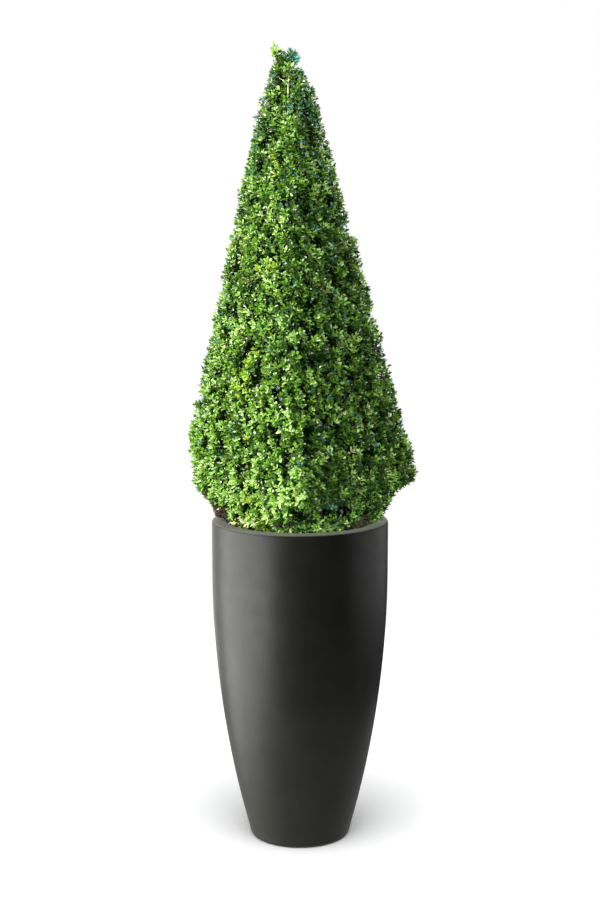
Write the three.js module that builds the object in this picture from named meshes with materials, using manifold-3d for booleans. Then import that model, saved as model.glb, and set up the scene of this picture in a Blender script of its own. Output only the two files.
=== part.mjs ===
// Clipped boxwood topiary in a tall round planter.
//
// The crown is a steep four-sided pyramid with softened corners. One corner faces the front (-Y).
// Units are millimetres and +Z is up. The origin is the middle of the planter's flat underside.

import * as THREE from 'three';
import { mergeVertices } from 'three/addons/utils/BufferGeometryUtils.js';
import Module from 'manifold-3d';

const wasm = await Module();
wasm.setup();

// Clearance between parts that touch.
const FIT_GAP = 0.3;

const FRONT = new THREE.Vector3(0, -1, 0);

// Planter: a straight upper wall that runs into one long arc down to a narrow foot.
const PLANTER = {
  height: 920,
  rimRadius: 250,
  footRadius: 141,
  arcTop: 780,
  arcSteps: 6,
  wall: 8,
  floor: 12,
  footRounding: 12.5,
  rimRounding: 6,
  flangeWidth: 40,
  flangeThickness: 8,
  lipRounding: 2.5,
  sides: 40,
};

// Height of the potting soil, filled to a little below the flange.
const SOIL_TOP = 862;

// Crown outline by height: [height, reach of the corners, squareness of the section].
// Squareness 2 is a circle and 1 is a sharp-cornered square.
const CROWN_OUTLINE = [
  [890, 190, 2.0],
  [920, 206, 2.0],
  [930, 238, 1.9],
  [948, 246, 1.8],
  [975, 258, 1.6],
  [1032, 312, 1.3],
  [1061, 320, 1.25],
  [1115, 318, 1.25],
  [2112, 74, 1.4],
  [2165, 50, 2.0],
  [2198, 26, 2.0],
];

// The plant leans to -X above this height.
const LEAN = { from: 950, slope: 0.029 };

// Bulge of the skirt to +X: [height, shift of the crown's middle].
const SKIRT_BULGE = [
  [960, 0],
  [1005, -3],
  [1034, 17],
  [1065, 14],
  [1130, 3],
  [1170, 0],
];

// Leaves may stand proud of the outline above this height, and keep off the planter below it.
const SKIRT_FREE_ABOVE = 945;

// Woody core that the leafy twigs stand out of, hollowed to a dish underneath.
// Each ring is [share of the core's reach, height].
const CORE_DEPTH = 27;
const CORE_SIDES = 24;
const CORE_RINGS = [
  [0, 1004],
  [0.45, 985],
  [0.8, 925],
  [1.06, 901],
  [1.07, 919],
  [1, 948],
  [1, 975],
  [1, 1032],
  [1, 1061],
  [1, 1115],
  [1, 1360],
  [1, 1610],
  [1, 1860],
  [1, 2118],
  [0, 2146],
];

// Trunk: the whole central leader, from the soil up to just under the tip of the crown.
const TRUNK = {
  top: 2162,
  footRadius: 19,
  tipRadius: 2.4,
  flare: 15,
  flareHeight: 34,
  sway: 7,
  sides: 10,
  rings: 16,
  crowding: 1.9,
};

// Low boughs that rise from the trunk's foot into the underside of the crown.
const BOUGH = {
  count: 6,
  firstAzimuth: 20,
  forkHeight: 30,
  forkStep: 4,
  reach: 122,
  rise: 76,
  bend: { reach: 67, rise: 11 },
  rootRadius: 9,
  tipRadius: 5.5,
  sides: 8,
  rings: 5,
};

// Leafy twigs of the crown, and the size of one leaf.
// Leaves are larger than life, so that a few of them close the surface.
const TWIG = { count: 70, rootRadius: 5.5, tipRadius: 4, sink: 9, rise: 22, lift: 0.25, tipInset: 9 };
const ERECT_TWIG = { count: 4, height: 2108, rise: 62 };
const LEAF = { length: 76, width: 44, thickness: 3, sink: 2, spacing: 30, tilt: 0.5, proud: 5 };

// Sizes and tilts that are tried in turn until a leaf fits its space.
const LEAF_TRIES = [
  [1, 1],
  [1, 0.5],
  [0.8, 1],
  [0.8, 0.4],
  [0.6, 1],
  [0.6, 0],
];

// Leaves of one twig: [place along the twig, turn round it as a share of a full turn].
const TWIG_LEAVES = [
  [0.88, 0],
  [0.88, 0.5],
  [0.6, 0.25],
  [0.6, 0.75],
  [0.98, 0.12],
];
const GOLDEN_SHARE = (3 - Math.sqrt(5)) / 2;
const AZIMUTH_JITTER = 0.12;
const SEED = 20;

// The two unclipped shoots at the tip. Root and tip are heights, and spread is the tip's X from
// the lean line. Space is the radius round the leafy part that the crown's leaves keep out of.
const SHOOTS = [
  { name: 'tip_shoot_left', root: 2163, tip: 2209, spread: -26, space: 18 },
  { name: 'tip_shoot_right', root: 2151, tip: 2190, spread: 26, space: 18 },
];
const SHOOT_LEAF = { length: 34, rise: 0.7, riseSpread: 0.4, turnSpread: 0.5 };

// Places along a shoot's stem that its leaves grow round, and the bend of the stem.
const SHOOT_SHARES = [0.4, 0.58, 0.76, 0.94];
const SHOOT_BEND = { spread: 0.8, rise: 0.45 };

// Repeatable random numbers from 0 to 1.
function seededRandom(seed) {
  let state = seed;
  return () => {
    state = (state + 0x6d2b79f5) | 0;
    let mixed = Math.imul(state ^ (state >>> 15), 1 | state);
    mixed = (mixed + Math.imul(mixed ^ (mixed >>> 7), 61 | mixed)) ^ mixed;
    return ((mixed ^ (mixed >>> 14)) >>> 0) / 4294967296;
  };
}

// Value of one column of a station list at a height, straight between stations.
function atHeight(stations, height, column) {
  const last = stations.length - 1;
  if (height <= stations[0][0]) return stations[0][column];
  if (height >= stations[last][0]) return stations[last][column];
  const above = stations.findIndex((station) => station[0] > height);
  const [low, high] = [stations[above - 1], stations[above]];
  const share = (height - low[0]) / (high[0] - low[0]);
  return low[column] + share * (high[column] - low[column]);
}

// X of the plant's centre line.
function leanAt(height) {
  return -LEAN.slope * Math.max(0, height - LEAN.from);
}

// X of the middle of the crown's section.
function crownMiddle(height) {
  return leanAt(height) + atHeight(SKIRT_BULGE, height, 1);
}

// Distance from the middle of the crown's section to the clipped surface.
function crownReach(azimuth, height) {
  const corner = atHeight(CROWN_OUTLINE, height, 1);
  const power = atHeight(CROWN_OUTLINE, height, 2);
  const spread = Math.abs(Math.cos(azimuth)) ** power + Math.abs(Math.sin(azimuth)) ** power;
  return corner / spread ** (1 / power);
}

// Point beside an upright line at the given X.
function beside(x, azimuth, radius, height) {
  return new THREE.Vector3(x + radius * Math.cos(azimuth), radius * Math.sin(azimuth), height);
}

// Point of the crown, at a depth under its clipped surface.
function underSurface(azimuth, depth, height) {
  const radius = crownReach(azimuth, height) - depth;
  return beside(crownMiddle(height), azimuth, radius, height);
}

// Closed three.js geometry as a solid that can be joined and cut.
function toSolid(geometry) {
  const bare = geometry.clone();
  bare.deleteAttribute('normal');
  bare.deleteAttribute('uv');
  const merged = mergeVertices(bare, 1e-4);
  return new wasm.Manifold(new wasm.Mesh({
    numProp: 3,
    vertProperties: new Float32Array(merged.attributes.position.array),
    triVerts: new Uint32Array(merged.index.array),
  }));
}

// The largest piece of a solid as a geometry: sealed hollows are filled and loose scraps dropped.
function toGeometry(solid) {
  const pieces = solid.decompose();
  pieces.sort((a, b) => b.volume() - a.volume());
  const mesh = pieces[0].getMesh();
  const geometry = new THREE.BufferGeometry();
  geometry.setAttribute('position', new THREE.BufferAttribute(mesh.vertProperties, 3));
  geometry.setIndex(new THREE.BufferAttribute(mesh.triVerts, 1));
  geometry.computeVertexNormals();
  return geometry;
}

// Turns a profile of [radius, height] about the Z axis.
function turned(profile, sides) {
  const points = profile.map(([radius, height]) => new THREE.Vector2(radius, height));
  return new THREE.LatheGeometry(points, sides).rotateX(Math.PI / 2);
}

// Tapering limb: a closed cylinder whose rings are set along a curve, square to it or level.
// Rings crowd towards the root when crowding is above 1. Clearance makes it wider and longer.
function limb(curve, radiusAt, { sides, rings, level = false, crowding = 1, clearance = 0 }) {
  const geometry = new THREE.CylinderGeometry(1, 1, 1, sides, rings);
  const position = geometry.attributes.position;
  const across = new THREE.Vector3();
  const aside = new THREE.Vector3();
  for (let i = 0; i < position.count; i++) {
    const share = (position.getY(i) + 0.5) ** crowding;
    const centre = curve.getPoint(share);
    const along = level ? new THREE.Vector3(0, 0, 1) : curve.getTangent(share);
    if (share === 0) centre.addScaledVector(along, -clearance);
    if (share === 1) centre.addScaledVector(along, clearance);
    across.set(along.z, 0, -along.x).normalize();
    aside.crossVectors(across, along);
    const radius = radiusAt(share) + clearance;
    centre.addScaledVector(across, position.getX(i) * radius);
    centre.addScaledVector(aside, position.getZ(i) * radius);
    position.setXYZ(i, centre.x, centre.y, centre.z);
  }
  return geometry;
}

// Outer radius of the planter's wall.
function planterRadius(height) {
  const { arcTop, rimRadius, footRadius } = PLANTER;
  const drop = rimRadius - footRadius;
  const arcRadius = (arcTop ** 2 + drop ** 2) / (2 * drop);
  const below = Math.max(0, arcTop - height);
  return rimRadius - arcRadius + Math.sqrt(arcRadius ** 2 - below ** 2);
}

// Heights where the curved wall gets a ring, from one height up to the straight part.
function wallHeights(from) {
  return Array.from(
    { length: PLANTER.arcSteps + 1 },
    (_, i) => from + ((PLANTER.arcTop - from) * i) / PLANTER.arcSteps,
  );
}

// Quarter round of a profile, as points from one angle to another in degrees.
function rounding(centreRadius, centreHeight, radius, fromDegrees, toDegrees, steps) {
  return Array.from({ length: steps + 1 }, (_, i) => {
    const angle = THREE.MathUtils.degToRad(fromDegrees + ((toDegrees - fromDegrees) * i) / steps);
    return [centreRadius + radius * Math.cos(angle), centreHeight + radius * Math.sin(angle)];
  });
}

// Hollow planter with a flat foot and a flange turned in round the mouth.
function planterGeometry() {
  const { height, rimRadius, wall, floor, sides } = PLANTER;
  const { footRounding, rimRounding, lipRounding, flangeWidth, flangeThickness } = PLANTER;
  const mouth = rimRadius - flangeWidth;
  const footCentre = planterRadius(footRounding) - footRounding;
  const inner = wallHeights(floor + footRounding).map((z) => [planterRadius(z) - wall, z]);
  const profile = [
    [0, 0],
    ...rounding(footCentre, footRounding, footRounding, -90, 0, 3),
    ...wallHeights(footRounding).slice(1).map((z) => [planterRadius(z), z]),
    ...rounding(rimRadius - rimRounding, height - rimRounding, rimRounding, 0, 90, 3),
    ...rounding(mouth + lipRounding, height - lipRounding, lipRounding, 90, 180, 2),
    [mouth, height - flangeThickness],
    [rimRadius - wall, height - flangeThickness],
    ...inner.reverse(),
    [inner.at(-1)[0] - footRounding, floor],
    [0, floor],
  ];
  return turned(profile, sides);
}

// Soil that fills the planter, a hair clear of the wall and the floor.
function soilGeometry() {
  const { wall, floor, footRounding, sides } = PLANTER;
  const fill = wall + FIT_GAP;
  const side = wallHeights(floor + footRounding).map((z) => [planterRadius(z) - fill, z]);
  const profile = [
    [0, floor + FIT_GAP],
    [side[0][0] - footRounding, floor + FIT_GAP],
    ...side,
    [PLANTER.rimRadius - fill, SOIL_TOP],
    [0, SOIL_TOP],
  ];
  return turned(profile, sides);
}

// Line of the trunk: it follows the lean, with a slight sway from side to side.
function trunkCurve() {
  const foot = SOIL_TOP + FIT_GAP;
  const shares = [0, 0.25, 0.5, 0.75, 1];
  return new THREE.CatmullRomCurve3(shares.map((share) => {
    const height = foot + share * (TRUNK.top - foot);
    const sway = TRUNK.sway * Math.sin(share * Math.PI * 2);
    return new THREE.Vector3(leanAt(height) + sway, sway / 2, height);
  }));
}

// Radius of the trunk: an even taper, with the root flare at the foot.
function trunkRadius(share) {
  const { footRadius, tipRadius, flare, flareHeight, top } = TRUNK;
  const rise = share * (top - SOIL_TOP);
  return footRadius + (tipRadius - footRadius) * share + flare * Math.exp(-rise / flareHeight);
}

function trunkGeometry(clearance = 0) {
  const { sides, rings, crowding } = TRUNK;
  return limb(trunkCurve(), trunkRadius, { sides, rings, level: true, crowding, clearance });
}

// One low bough, from the trunk's line out and up into the crown.
function boughGeometry(index, clearance = 0) {
  const { count, firstAzimuth, forkHeight, forkStep, reach, rise, bend, rootRadius, tipRadius } = BOUGH;
  const azimuth = THREE.MathUtils.degToRad(firstAzimuth + (360 * index) / count);
  const forkAt = SOIL_TOP + forkHeight + forkStep * (index % 3);
  const curve = new THREE.QuadraticBezierCurve3(
    beside(0, azimuth, 0, forkAt),
    beside(0, azimuth, bend.reach, forkAt + bend.rise),
    beside(0, azimuth, reach, forkAt + rise),
  );
  const radiusAt = (share) => rootRadius + (tipRadius - rootRadius) * share;
  return limb(curve, radiusAt, { sides: BOUGH.sides, rings: BOUGH.rings, clearance });
}

// A bough is cut off a hair outside the trunk's bark.
function boughSolid(index) {
  return toSolid(boughGeometry(index)).subtract(toSolid(trunkGeometry(FIT_GAP)));
}

// Core of the crown, shaped ring by ring to the clipped outline.
function coreSolid() {
  const geometry = turned(CORE_RINGS, CORE_SIDES);
  const position = geometry.attributes.position;
  for (let i = 0; i < position.count; i++) {
    const height = position.getZ(i);
    const share = Math.hypot(position.getX(i), position.getY(i));
    const azimuth = Math.atan2(position.getY(i), position.getX(i));
    const radius = share * (crownReach(azimuth, height) - CORE_DEPTH);
    const point = beside(crownMiddle(height), azimuth, radius, height);
    position.setXYZ(i, point.x, point.y, point.z);
  }
  return toSolid(geometry);
}

// Leaf of eight faces. Its root is at the start point and its face is turned to the normal.
function leafGeometry(root, direction, normal, length) {
  const geometry = new THREE.OctahedronGeometry(0.5);
  const along = direction.clone().normalize();
  const across = new THREE.Vector3().crossVectors(normal, along).normalize();
  const up = new THREE.Vector3().crossVectors(along, across);
  const width = (LEAF.width * length) / LEAF.length;
  geometry.scale(length, width, LEAF.thickness);
  geometry.translate(length / 2 - LEAF.sink, 0, 0);
  const turn = new THREE.Matrix4().makeBasis(along, across, up).setPosition(root);
  return geometry.applyMatrix4(turn);
}

// True where every corner of a geometry passes a test.
function everyCorner(geometry, test) {
  const position = geometry.attributes.position;
  const corner = new THREE.Vector3();
  for (let i = 0; i < position.count; i++) {
    if (!test(corner.fromBufferAttribute(position, i))) return false;
  }
  return true;
}

// Leaf that fits its space, shortened or laid flatter where it has to be, or undefined.
function fittedLeaf(root, flat, outward, tilt, normal) {
  const tries = LEAF_TRIES.map(([size, tiltShare]) => {
    const direction = flat.clone().addScaledVector(outward, tilt * tiltShare);
    return leafGeometry(root, direction, normal, LEAF.length * size);
  });
  return tries.find((geometry) => everyCorner(geometry, inCrown));
}

// Line that one shoot follows.
function shootCurve({ root, tip, spread }) {
  return new THREE.QuadraticBezierCurve3(
    trunkCurve().getPoint(1).setZ(root),
    new THREE.Vector3(leanAt(root) + spread * SHOOT_BEND.spread, 0, root + (tip - root) * SHOOT_BEND.rise),
    new THREE.Vector3(leanAt(tip) + spread, 0, tip),
  );
}

// Distance from a point to the leafy part of a shoot's stem.
function distanceToShoot(shoot, point) {
  const curve = shootCurve(shoot);
  return Math.min(...SHOOT_SHARES.map((share) => curve.getPoint(share).distanceTo(point)));
}

// True where a point is in the space that a shoot at the tip keeps to.
function inShootSpace(point) {
  return SHOOTS.some((shoot) => distanceToShoot(shoot, point) < shoot.space);
}

// True where a point is in the space of the crown's foliage.
function inCrown(point) {
  const outward = point.x - crownMiddle(point.z);
  const azimuth = Math.atan2(point.y, outward);
  const low = CROWN_OUTLINE[0][0];
  const high = CROWN_OUTLINE.at(-1)[0];
  if (point.z < low || point.z > high || inShootSpace(point)) return false;
  const reach = crownReach(azimuth, point.z) + (point.z > SKIRT_FREE_ABOVE ? LEAF.proud : 0);
  return Math.hypot(outward, point.y) <= reach;
}

// Heights that give every twig an equal share of the clipped surface.
function evenHeights(count) {
  const step = 4;
  const low = CROWN_OUTLINE[0][0] + step;
  const high = CROWN_OUTLINE.at(-1)[0] - step;
  const slices = [];
  let total = 0;
  for (let height = low; height < high; height += step) {
    const reach = atHeight(CROWN_OUTLINE, height, 1);
    const slant = Math.hypot(step, atHeight(CROWN_OUTLINE, height + step, 1) - reach);
    total += reach * slant;
    slices.push([height, total]);
  }
  return Array.from({ length: count }, (_, i) => {
    const wanted = (total * (i + 0.5)) / count;
    return slices.find((slice) => slice[1] >= wanted)[0];
  });
}

// Azimuth of a place on the outline of a square, by its share of the way round.
function squareAzimuth(share) {
  const quarter = Math.floor(share * 4);
  const along = share * 4 - quarter;
  return (quarter * Math.PI) / 2 + Math.atan2(along, 1 - along);
}

// Places of the twigs as [azimuth, root height, rise]: a few erect ones round the leader, then
// a golden-section spiral that gives each twig an equal share of the clipped surface.
function twigPlaces(random) {
  const erect = Array.from({ length: ERECT_TWIG.count }, (_, i) => {
    return [(2 * Math.PI * (i + 0.5)) / ERECT_TWIG.count, ERECT_TWIG.height, ERECT_TWIG.rise];
  });
  const spiral = evenHeights(TWIG.count).map((height, i) => {
    const azimuth = squareAzimuth((i * GOLDEN_SHARE) % 1) + AZIMUTH_JITTER * (random() - 0.5);
    return [azimuth, height, TWIG.rise];
  });
  return [...erect, ...spiral];
}

// One twig with two opposite pairs of leaves and a leaf at its end.
// A leaf is skipped where it would leave the crown's space or lie on another twig's leaf.
function twigSolids([azimuth, height, rise], taken, random) {
  const tipHeight = height + rise;
  const root = underSurface(azimuth, CORE_DEPTH + TWIG.sink, height);
  const tip = underSurface(azimuth, TWIG.tipInset, tipHeight);
  const line = new THREE.LineCurve3(root, tip);
  const radiusAt = (share) => TWIG.rootRadius + (TWIG.tipRadius - TWIG.rootRadius) * share;
  const stem = limb(line, radiusAt, { sides: 3, rings: 1 });
  if (!everyCorner(stem, inCrown)) return [];
  const outward = new THREE.Vector3(Math.cos(azimuth), Math.sin(azimuth), TWIG.lift).normalize();
  const sideways = new THREE.Vector3(-Math.sin(azimuth), Math.cos(azimuth), 0);
  const upward = new THREE.Vector3().crossVectors(outward, sideways);
  const turn = random();
  const leaves = [];
  const middles = [];
  TWIG_LEAVES.forEach(([share, part]) => {
    const angle = (turn + part) * 2 * Math.PI;
    const flat = sideways.clone().multiplyScalar(Math.cos(angle));
    flat.addScaledVector(upward, Math.sin(angle));
    const tilt = LEAF.tilt * random();
    const normal = outward.clone().addScaledVector(sideways, random() - 0.5);
    const start = line.getPoint(share);
    const middle = start.clone().addScaledVector(flat, LEAF.length / 2);
    if (taken.some((other) => other.distanceTo(middle) < LEAF.spacing)) return;
    const leaf = fittedLeaf(start, flat, outward, tilt, normal);
    if (!leaf) return;
    leaves.push(leaf);
    middles.push(middle);
  });
  taken.push(...middles);
  return [stem, ...leaves].map(toSolid);
}

// The clipped crown: core, twigs and leaves as one solid, cut clear of the trunk and the boughs.
function crownSolid() {
  const random = seededRandom(SEED);
  const taken = [];
  const twigs = twigPlaces(random).flatMap((place) => twigSolids(place, taken, random));
  const limbs = Array.from({ length: BOUGH.count }, (_, i) => toSolid(boughGeometry(i, FIT_GAP)));
  limbs.push(toSolid(trunkGeometry(FIT_GAP)));
  return wasm.Manifold.union([coreSolid(), ...twigs]).subtract(wasm.Manifold.union(limbs));
}

// True where a point is nearer to one shoot than to the others.
function nearestShoot(shoot, point) {
  const own = distanceToShoot(shoot, point);
  return SHOOTS.every((other) => other === shoot || own < distanceToShoot(other, point) - FIT_GAP);
}

// One shoot at the tip: a stem with opposite pairs of leaves and a leaf at its end.
function shootSolid(shoot, seed) {
  const random = seededRandom(seed);
  const curve = shootCurve(shoot);
  const stem = limb(curve, (share) => TRUNK.tipRadius - share, { sides: 3, rings: 3 });
  const { length, rise, riseSpread, turnSpread } = SHOOT_LEAF;
  const leaves = [];
  SHOOT_SHARES.forEach((share, pair) => {
    for (const side of [0, Math.PI]) {
      const angle = side + (pair % 2) * (Math.PI / 2) + turnSpread * random();
      const outward = new THREE.Vector3(Math.cos(angle), Math.sin(angle), 0);
      const direction = outward.clone().setZ(rise + riseSpread * random());
      const normal = outward.negate().setZ(1);
      leaves.push(leafGeometry(curve.getPoint(share), direction, normal, length));
    }
  });
  leaves.push(leafGeometry(curve.getPoint(1), curve.getTangent(1), FRONT, length));
  const clear = leaves.filter((leaf) => everyCorner(leaf, (point) => nearestShoot(shoot, point)));
  const solid = wasm.Manifold.union([stem, ...clear].map(toSolid));
  return solid.subtract(toSolid(trunkGeometry(FIT_GAP)));
}

// Finishes.
const MATERIALS = {
  planter: new THREE.MeshStandardMaterial({ color: '#3b3d3a', roughness: 0.55, metalness: 0 }),
  soil: new THREE.MeshStandardMaterial({ color: '#2e211a', roughness: 0.95, metalness: 0 }),
  bark: new THREE.MeshStandardMaterial({ color: '#7a6750', roughness: 0.9, metalness: 0 }),
  foliage: new THREE.MeshStandardMaterial({ color: '#3f7a2a', roughness: 0.5, metalness: 0 }),
};

function namedMesh(name, geometry, material) {
  const mesh = new THREE.Mesh(geometry, material.clone());
  mesh.name = name;
  return mesh;
}

const topiary = new THREE.Group();
topiary.add(namedMesh('planter', planterGeometry(), MATERIALS.planter));
topiary.add(namedMesh('soil', soilGeometry(), MATERIALS.soil));
topiary.add(namedMesh('trunk', trunkGeometry(), MATERIALS.bark));
for (let i = 0; i < BOUGH.count; i++) {
  topiary.add(namedMesh(`bough_${i + 1}`, toGeometry(boughSolid(i)), MATERIALS.bark));
}
topiary.add(namedMesh('crown', toGeometry(crownSolid()), MATERIALS.foliage));
SHOOTS.forEach((shoot, i) => {
  topiary.add(namedMesh(shoot.name, toGeometry(shootSolid(shoot, SEED + 1 + i)), MATERIALS.foliage));
});

export default topiary;
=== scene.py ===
# Clipped boxwood topiary in a tall round planter: the finished surfaces.
#
# The crown is a steep four-sided pyramid with softened corners, one of them towards the front (-Y).
# Units are metres and +Z is up. The origin is the middle of the planter's flat underside.

import math

import bpy
import numpy as np
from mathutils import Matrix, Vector, kdtree, noise


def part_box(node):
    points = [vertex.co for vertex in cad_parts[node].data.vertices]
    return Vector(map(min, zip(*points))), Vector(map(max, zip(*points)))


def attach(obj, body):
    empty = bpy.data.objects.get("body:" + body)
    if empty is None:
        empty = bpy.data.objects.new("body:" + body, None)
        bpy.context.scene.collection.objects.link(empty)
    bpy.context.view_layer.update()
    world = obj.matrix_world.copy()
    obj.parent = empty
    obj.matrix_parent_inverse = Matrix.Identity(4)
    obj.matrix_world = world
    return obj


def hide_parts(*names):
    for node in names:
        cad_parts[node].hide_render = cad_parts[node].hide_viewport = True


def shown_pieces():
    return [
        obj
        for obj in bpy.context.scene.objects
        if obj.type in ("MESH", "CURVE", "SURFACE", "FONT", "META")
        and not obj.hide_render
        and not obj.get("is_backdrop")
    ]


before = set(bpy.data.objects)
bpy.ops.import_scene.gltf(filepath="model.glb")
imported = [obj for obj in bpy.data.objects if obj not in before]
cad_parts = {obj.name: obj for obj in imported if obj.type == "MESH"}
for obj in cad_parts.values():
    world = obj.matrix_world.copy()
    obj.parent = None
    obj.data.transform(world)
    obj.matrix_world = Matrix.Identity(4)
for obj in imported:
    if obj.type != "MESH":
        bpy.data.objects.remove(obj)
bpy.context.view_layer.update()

bl_info = {
    "name": "Clipped Boxwood Topiary",
    "version": (1, 0, 0),
    "blender": (4, 5, 0),
    "location": "3D View > Sidebar > Topiary",
    "description": "Dresses a clipped boxwood pyramid and its tall planter",
    "category": "Add Mesh",
}

UP = np.array((0.0, 0.0, 1.0))

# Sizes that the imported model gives.
RIM_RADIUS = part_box("planter")[1].x
RIM_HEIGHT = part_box("planter")[1].z
SOIL_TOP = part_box("soil")[1].z
SOIL_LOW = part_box("soil")[0].z
TRUNK_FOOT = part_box("trunk")[0].z
TRUNK_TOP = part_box("trunk")[1].z

# Planter wall: straight above ARC_TOP, one long arc below it.
FOOT_RADIUS = 0.141
ARC_TOP = 0.780
WALL = 0.008
FLOOR = 0.012
FLANGE_WIDTH = 0.040
FLANGE_THICKNESS = 0.008
FOOT_ROUNDING = 0.0125
RIM_ROUNDING = 0.006
LIP_ROUNDING = 0.0025
MOUTH_RADIUS = RIM_RADIUS - FLANGE_WIDTH

# Crown outline by height: (height, reach of the corners, squareness of the section).
# Squareness 2 is a circle and 1 is a sharp-cornered square.
CROWN_OUTLINE = (
    (0.890, 0.190, 2.0),
    (0.920, 0.206, 2.0),
    (0.930, 0.238, 1.9),
    (0.948, 0.246, 1.8),
    (0.975, 0.258, 1.6),
    (1.032, 0.312, 1.3),
    (1.061, 0.320, 1.25),
    (1.115, 0.318, 1.25),
    (2.112, 0.074, 1.4),
    (2.145, 0.050, 1.8),
    (2.170, 0.043, 2.0),
    (2.198, 0.026, 2.0),
)

# The plant leans to -X above this height.
LEAN_FROM = 0.950
LEAN_SLOPE = 0.029

# Bulge of the skirt to +X: (height, shift of the crown's middle).
SKIRT_BULGE = ((0.960, 0.0), (1.005, -0.003), (1.034, 0.017), (1.065, 0.014), (1.130, 0.003), (1.170, 0.0))

# Trunk line and taper.
TRUNK_RADIUS = 0.019
TRUNK_TIP_RADIUS = 0.0024
TRUNK_FLARE = 0.015
FLARE_HEIGHT = 0.034
TRUNK_SWAY = 0.007

# Low boughs, from the trunk's foot out and up into the crown.
BOUGH_COUNT = 6
BOUGH_AZIMUTH = 20
BOUGH_FORK = 0.030
BOUGH_FORK_STEP = 0.004
BOUGH_REACH = 0.122
BOUGH_RISE = 0.076
BOUGH_BEND = (0.067, 0.011)
BOUGH_RADII = (0.009, 0.0055)

# Rings along and sides round the barked trunk and boughs.
TRUNK_RINGS = 260
TRUNK_SIDES = 40
BOUGH_RINGS = 32
BOUGH_SIDES = 20

# Height in the bark's relief, from 0 down in a fissure to 1, at which a stem keeps its own radius.
BARK_LEVEL = 0.3

# Shoots at the tip: (name, root height, tip height, X of the tip from the lean line, finish of the leaves).
SHOOTS = (
    # Each shoot's leaves take one pale finish: partly their young colour and partly painted light.
    ("tip_shoot_left", 2.163, 2.211, -0.031, "fresh"),
    ("tip_shoot_right", 2.151, 2.190, 0.021, "teal"),
)

# Middle of a shoot's bend, as shares of its way across and up.
SHOOT_BEND = (1.0, 0.3)

# The crown's leaves keep this far from a shoot, at these shares of its line.
SHOOT_SPACE = 0.0144
SHOOT_PLACES = (0.5, 0.75, 1.0)

# Side sprays of a shoot: how many, the share of its line where they start, their rise and their reach.
SHOOT_SPRAYS = 22
SHOOT_LEAFY_FROM = 0.78
SHOOT_RISE = (0.5, 1.4)
SHOOT_REACH = (0.009, 0.019)

# Sprays at the end of a shoot: (turn to X, turn to Y, reach).
SHOOT_ENDS = np.array(((0.0, 0.0, 0.028), (0.28, 0.0, 0.020), (-0.20, -0.15, 0.017)))

# Sprays that fill the crown's top, between the shoots and under the left one. Each row is how many
# there are, the first and last X of their tips from the lean line, and their height.
TOP_FILLS = ((34, -0.020, 0.024, 2.216), (16, -0.040, -0.016, 2.190))

# How far those tips stray in Y and in height, and the X from which their leaves have a waxy bloom.
TOP_STRAY_Y = (-0.016, 0.016)
TOP_STRAY_Z = (-0.024, 0.004)
BLUISH_FROM = -0.048

# Those sprays start this far under the trunk's end, and this rise is added to their direction.
TOP_ROOT_DEPTH = 0.004
TOP_RISE = 0.02

# Shoots and top have leaves of this size, as a share of the crown's.
TOP_LEAF_SIZE = 0.8

# Twigs wind round the crown by the golden section, and stray from it within this angle in radians.
GOLDEN_SHARE = (3 - math.sqrt(5)) / 2
AZIMUTH_JITTER = 0.12

# Depth of the limbs' and the branches' tips under the clipped surface, and the most that it may be as a
# share of the crown's reach.
LIMB_DEPTH = (0.085, 0.6)
BRANCH_DEPTH = (0.045, 0.5)

# Limbs: how far their roots lie under their tips and how far they sag, as shares of their span, and the
# height under which they grow from the boughs. The trunk bears none near its foot and its tip.
LIMB_RISE = 0.8
LIMB_SAG = 0.1
BOUGH_LIMBS_BELOW = 1.12
LIMBLESS_FOOT = 0.07
LIMBLESS_TIP = 0.02

# Branches and spray stems start on this stretch of the limb or branch that bears them.
BRANCH_STARTS = (0.6, 1.0)
SPRAY_STARTS = (0.5, 1.0)
BRANCH_STRAY = 0.004

# Stems in the crown: (radius at the root, radius at the tip, sides). The last two are a shoot's.
STEMS = {
    "crown_limbs": (0.0042, 0.0024, 6),
    "crown_branches": (0.0024, 0.0015, 4),
    "crown_twigs": (0.0012, 0.0006, 3),
    "crown_top_twigs": (0.0014, 0.0006, 4),
    "bare_twigs": (0.0019, 0.0009, 5),
    "leader_stem": (0.0022, 0.0016, 8),
    "leader_arms": (0.0012, 0.0006, 6),
    "stem": (0.0022, 0.0014, 6),
    "twigs": (0.0011, 0.0006, 4),
}

# Length of one stretch of alike colour on a twig.
TWIG_TINT = 0.02

# Hollows that the clipping left in the surface, and bulges below depth 0: (azimuth, height, width, depth).
HOLLOWS = (
    (-88, 1.486, 0.030, 0.016),
    (-118, 1.330, 0.035, 0.015),
    (-116, 1.420, 0.030, 0.014),
    (-62, 0.975, 0.032, 0.016),
    (180, 1.985, 0.060, 0.008),
    (0, 1.660, 0.160, -0.008),
    (-50, 0.925, 0.030, 0.018),
)

# How low the lumps of the surface fall where they start to part into a gap, and where the gap is full.
CREVICE = (0.18, 0.38)

# Bare stretches of the skirt's underside: (azimuth, half width in degrees, lowest, highest height,
# fall of the upper edge towards both sides).
BARE_STRETCHES = (
    (194, 19, 0.885, 0.984, 0.055),
    (-50, 6, 0.885, 0.938, 0.012),
    (-4, 12, 0.915, 0.970, 0.012),
)

# Bare twigs: the half width of a stretch that holds the full number, how far they spread as a share of
# the half width, the depths of their roots, middles and tips under the surface, the rise of their roots,
# their sideways stray in degrees, the mean and the stray of their tips' rise, and the least height over
# the rim.
FULL_STRETCH = 27
BARE_TWIG_SPREAD = 1.05
BARE_TWIG_DEPTHS = ((0.035, 0.060), (0.008, 0.020), (-0.004, 0.010))
BARE_TWIG_RISE = 0.012
BARE_TWIG_STRAY = 5
BARE_TIP_RISE = (0.004, 0.010)
RIM_CLEARANCE = 0.004

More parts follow.
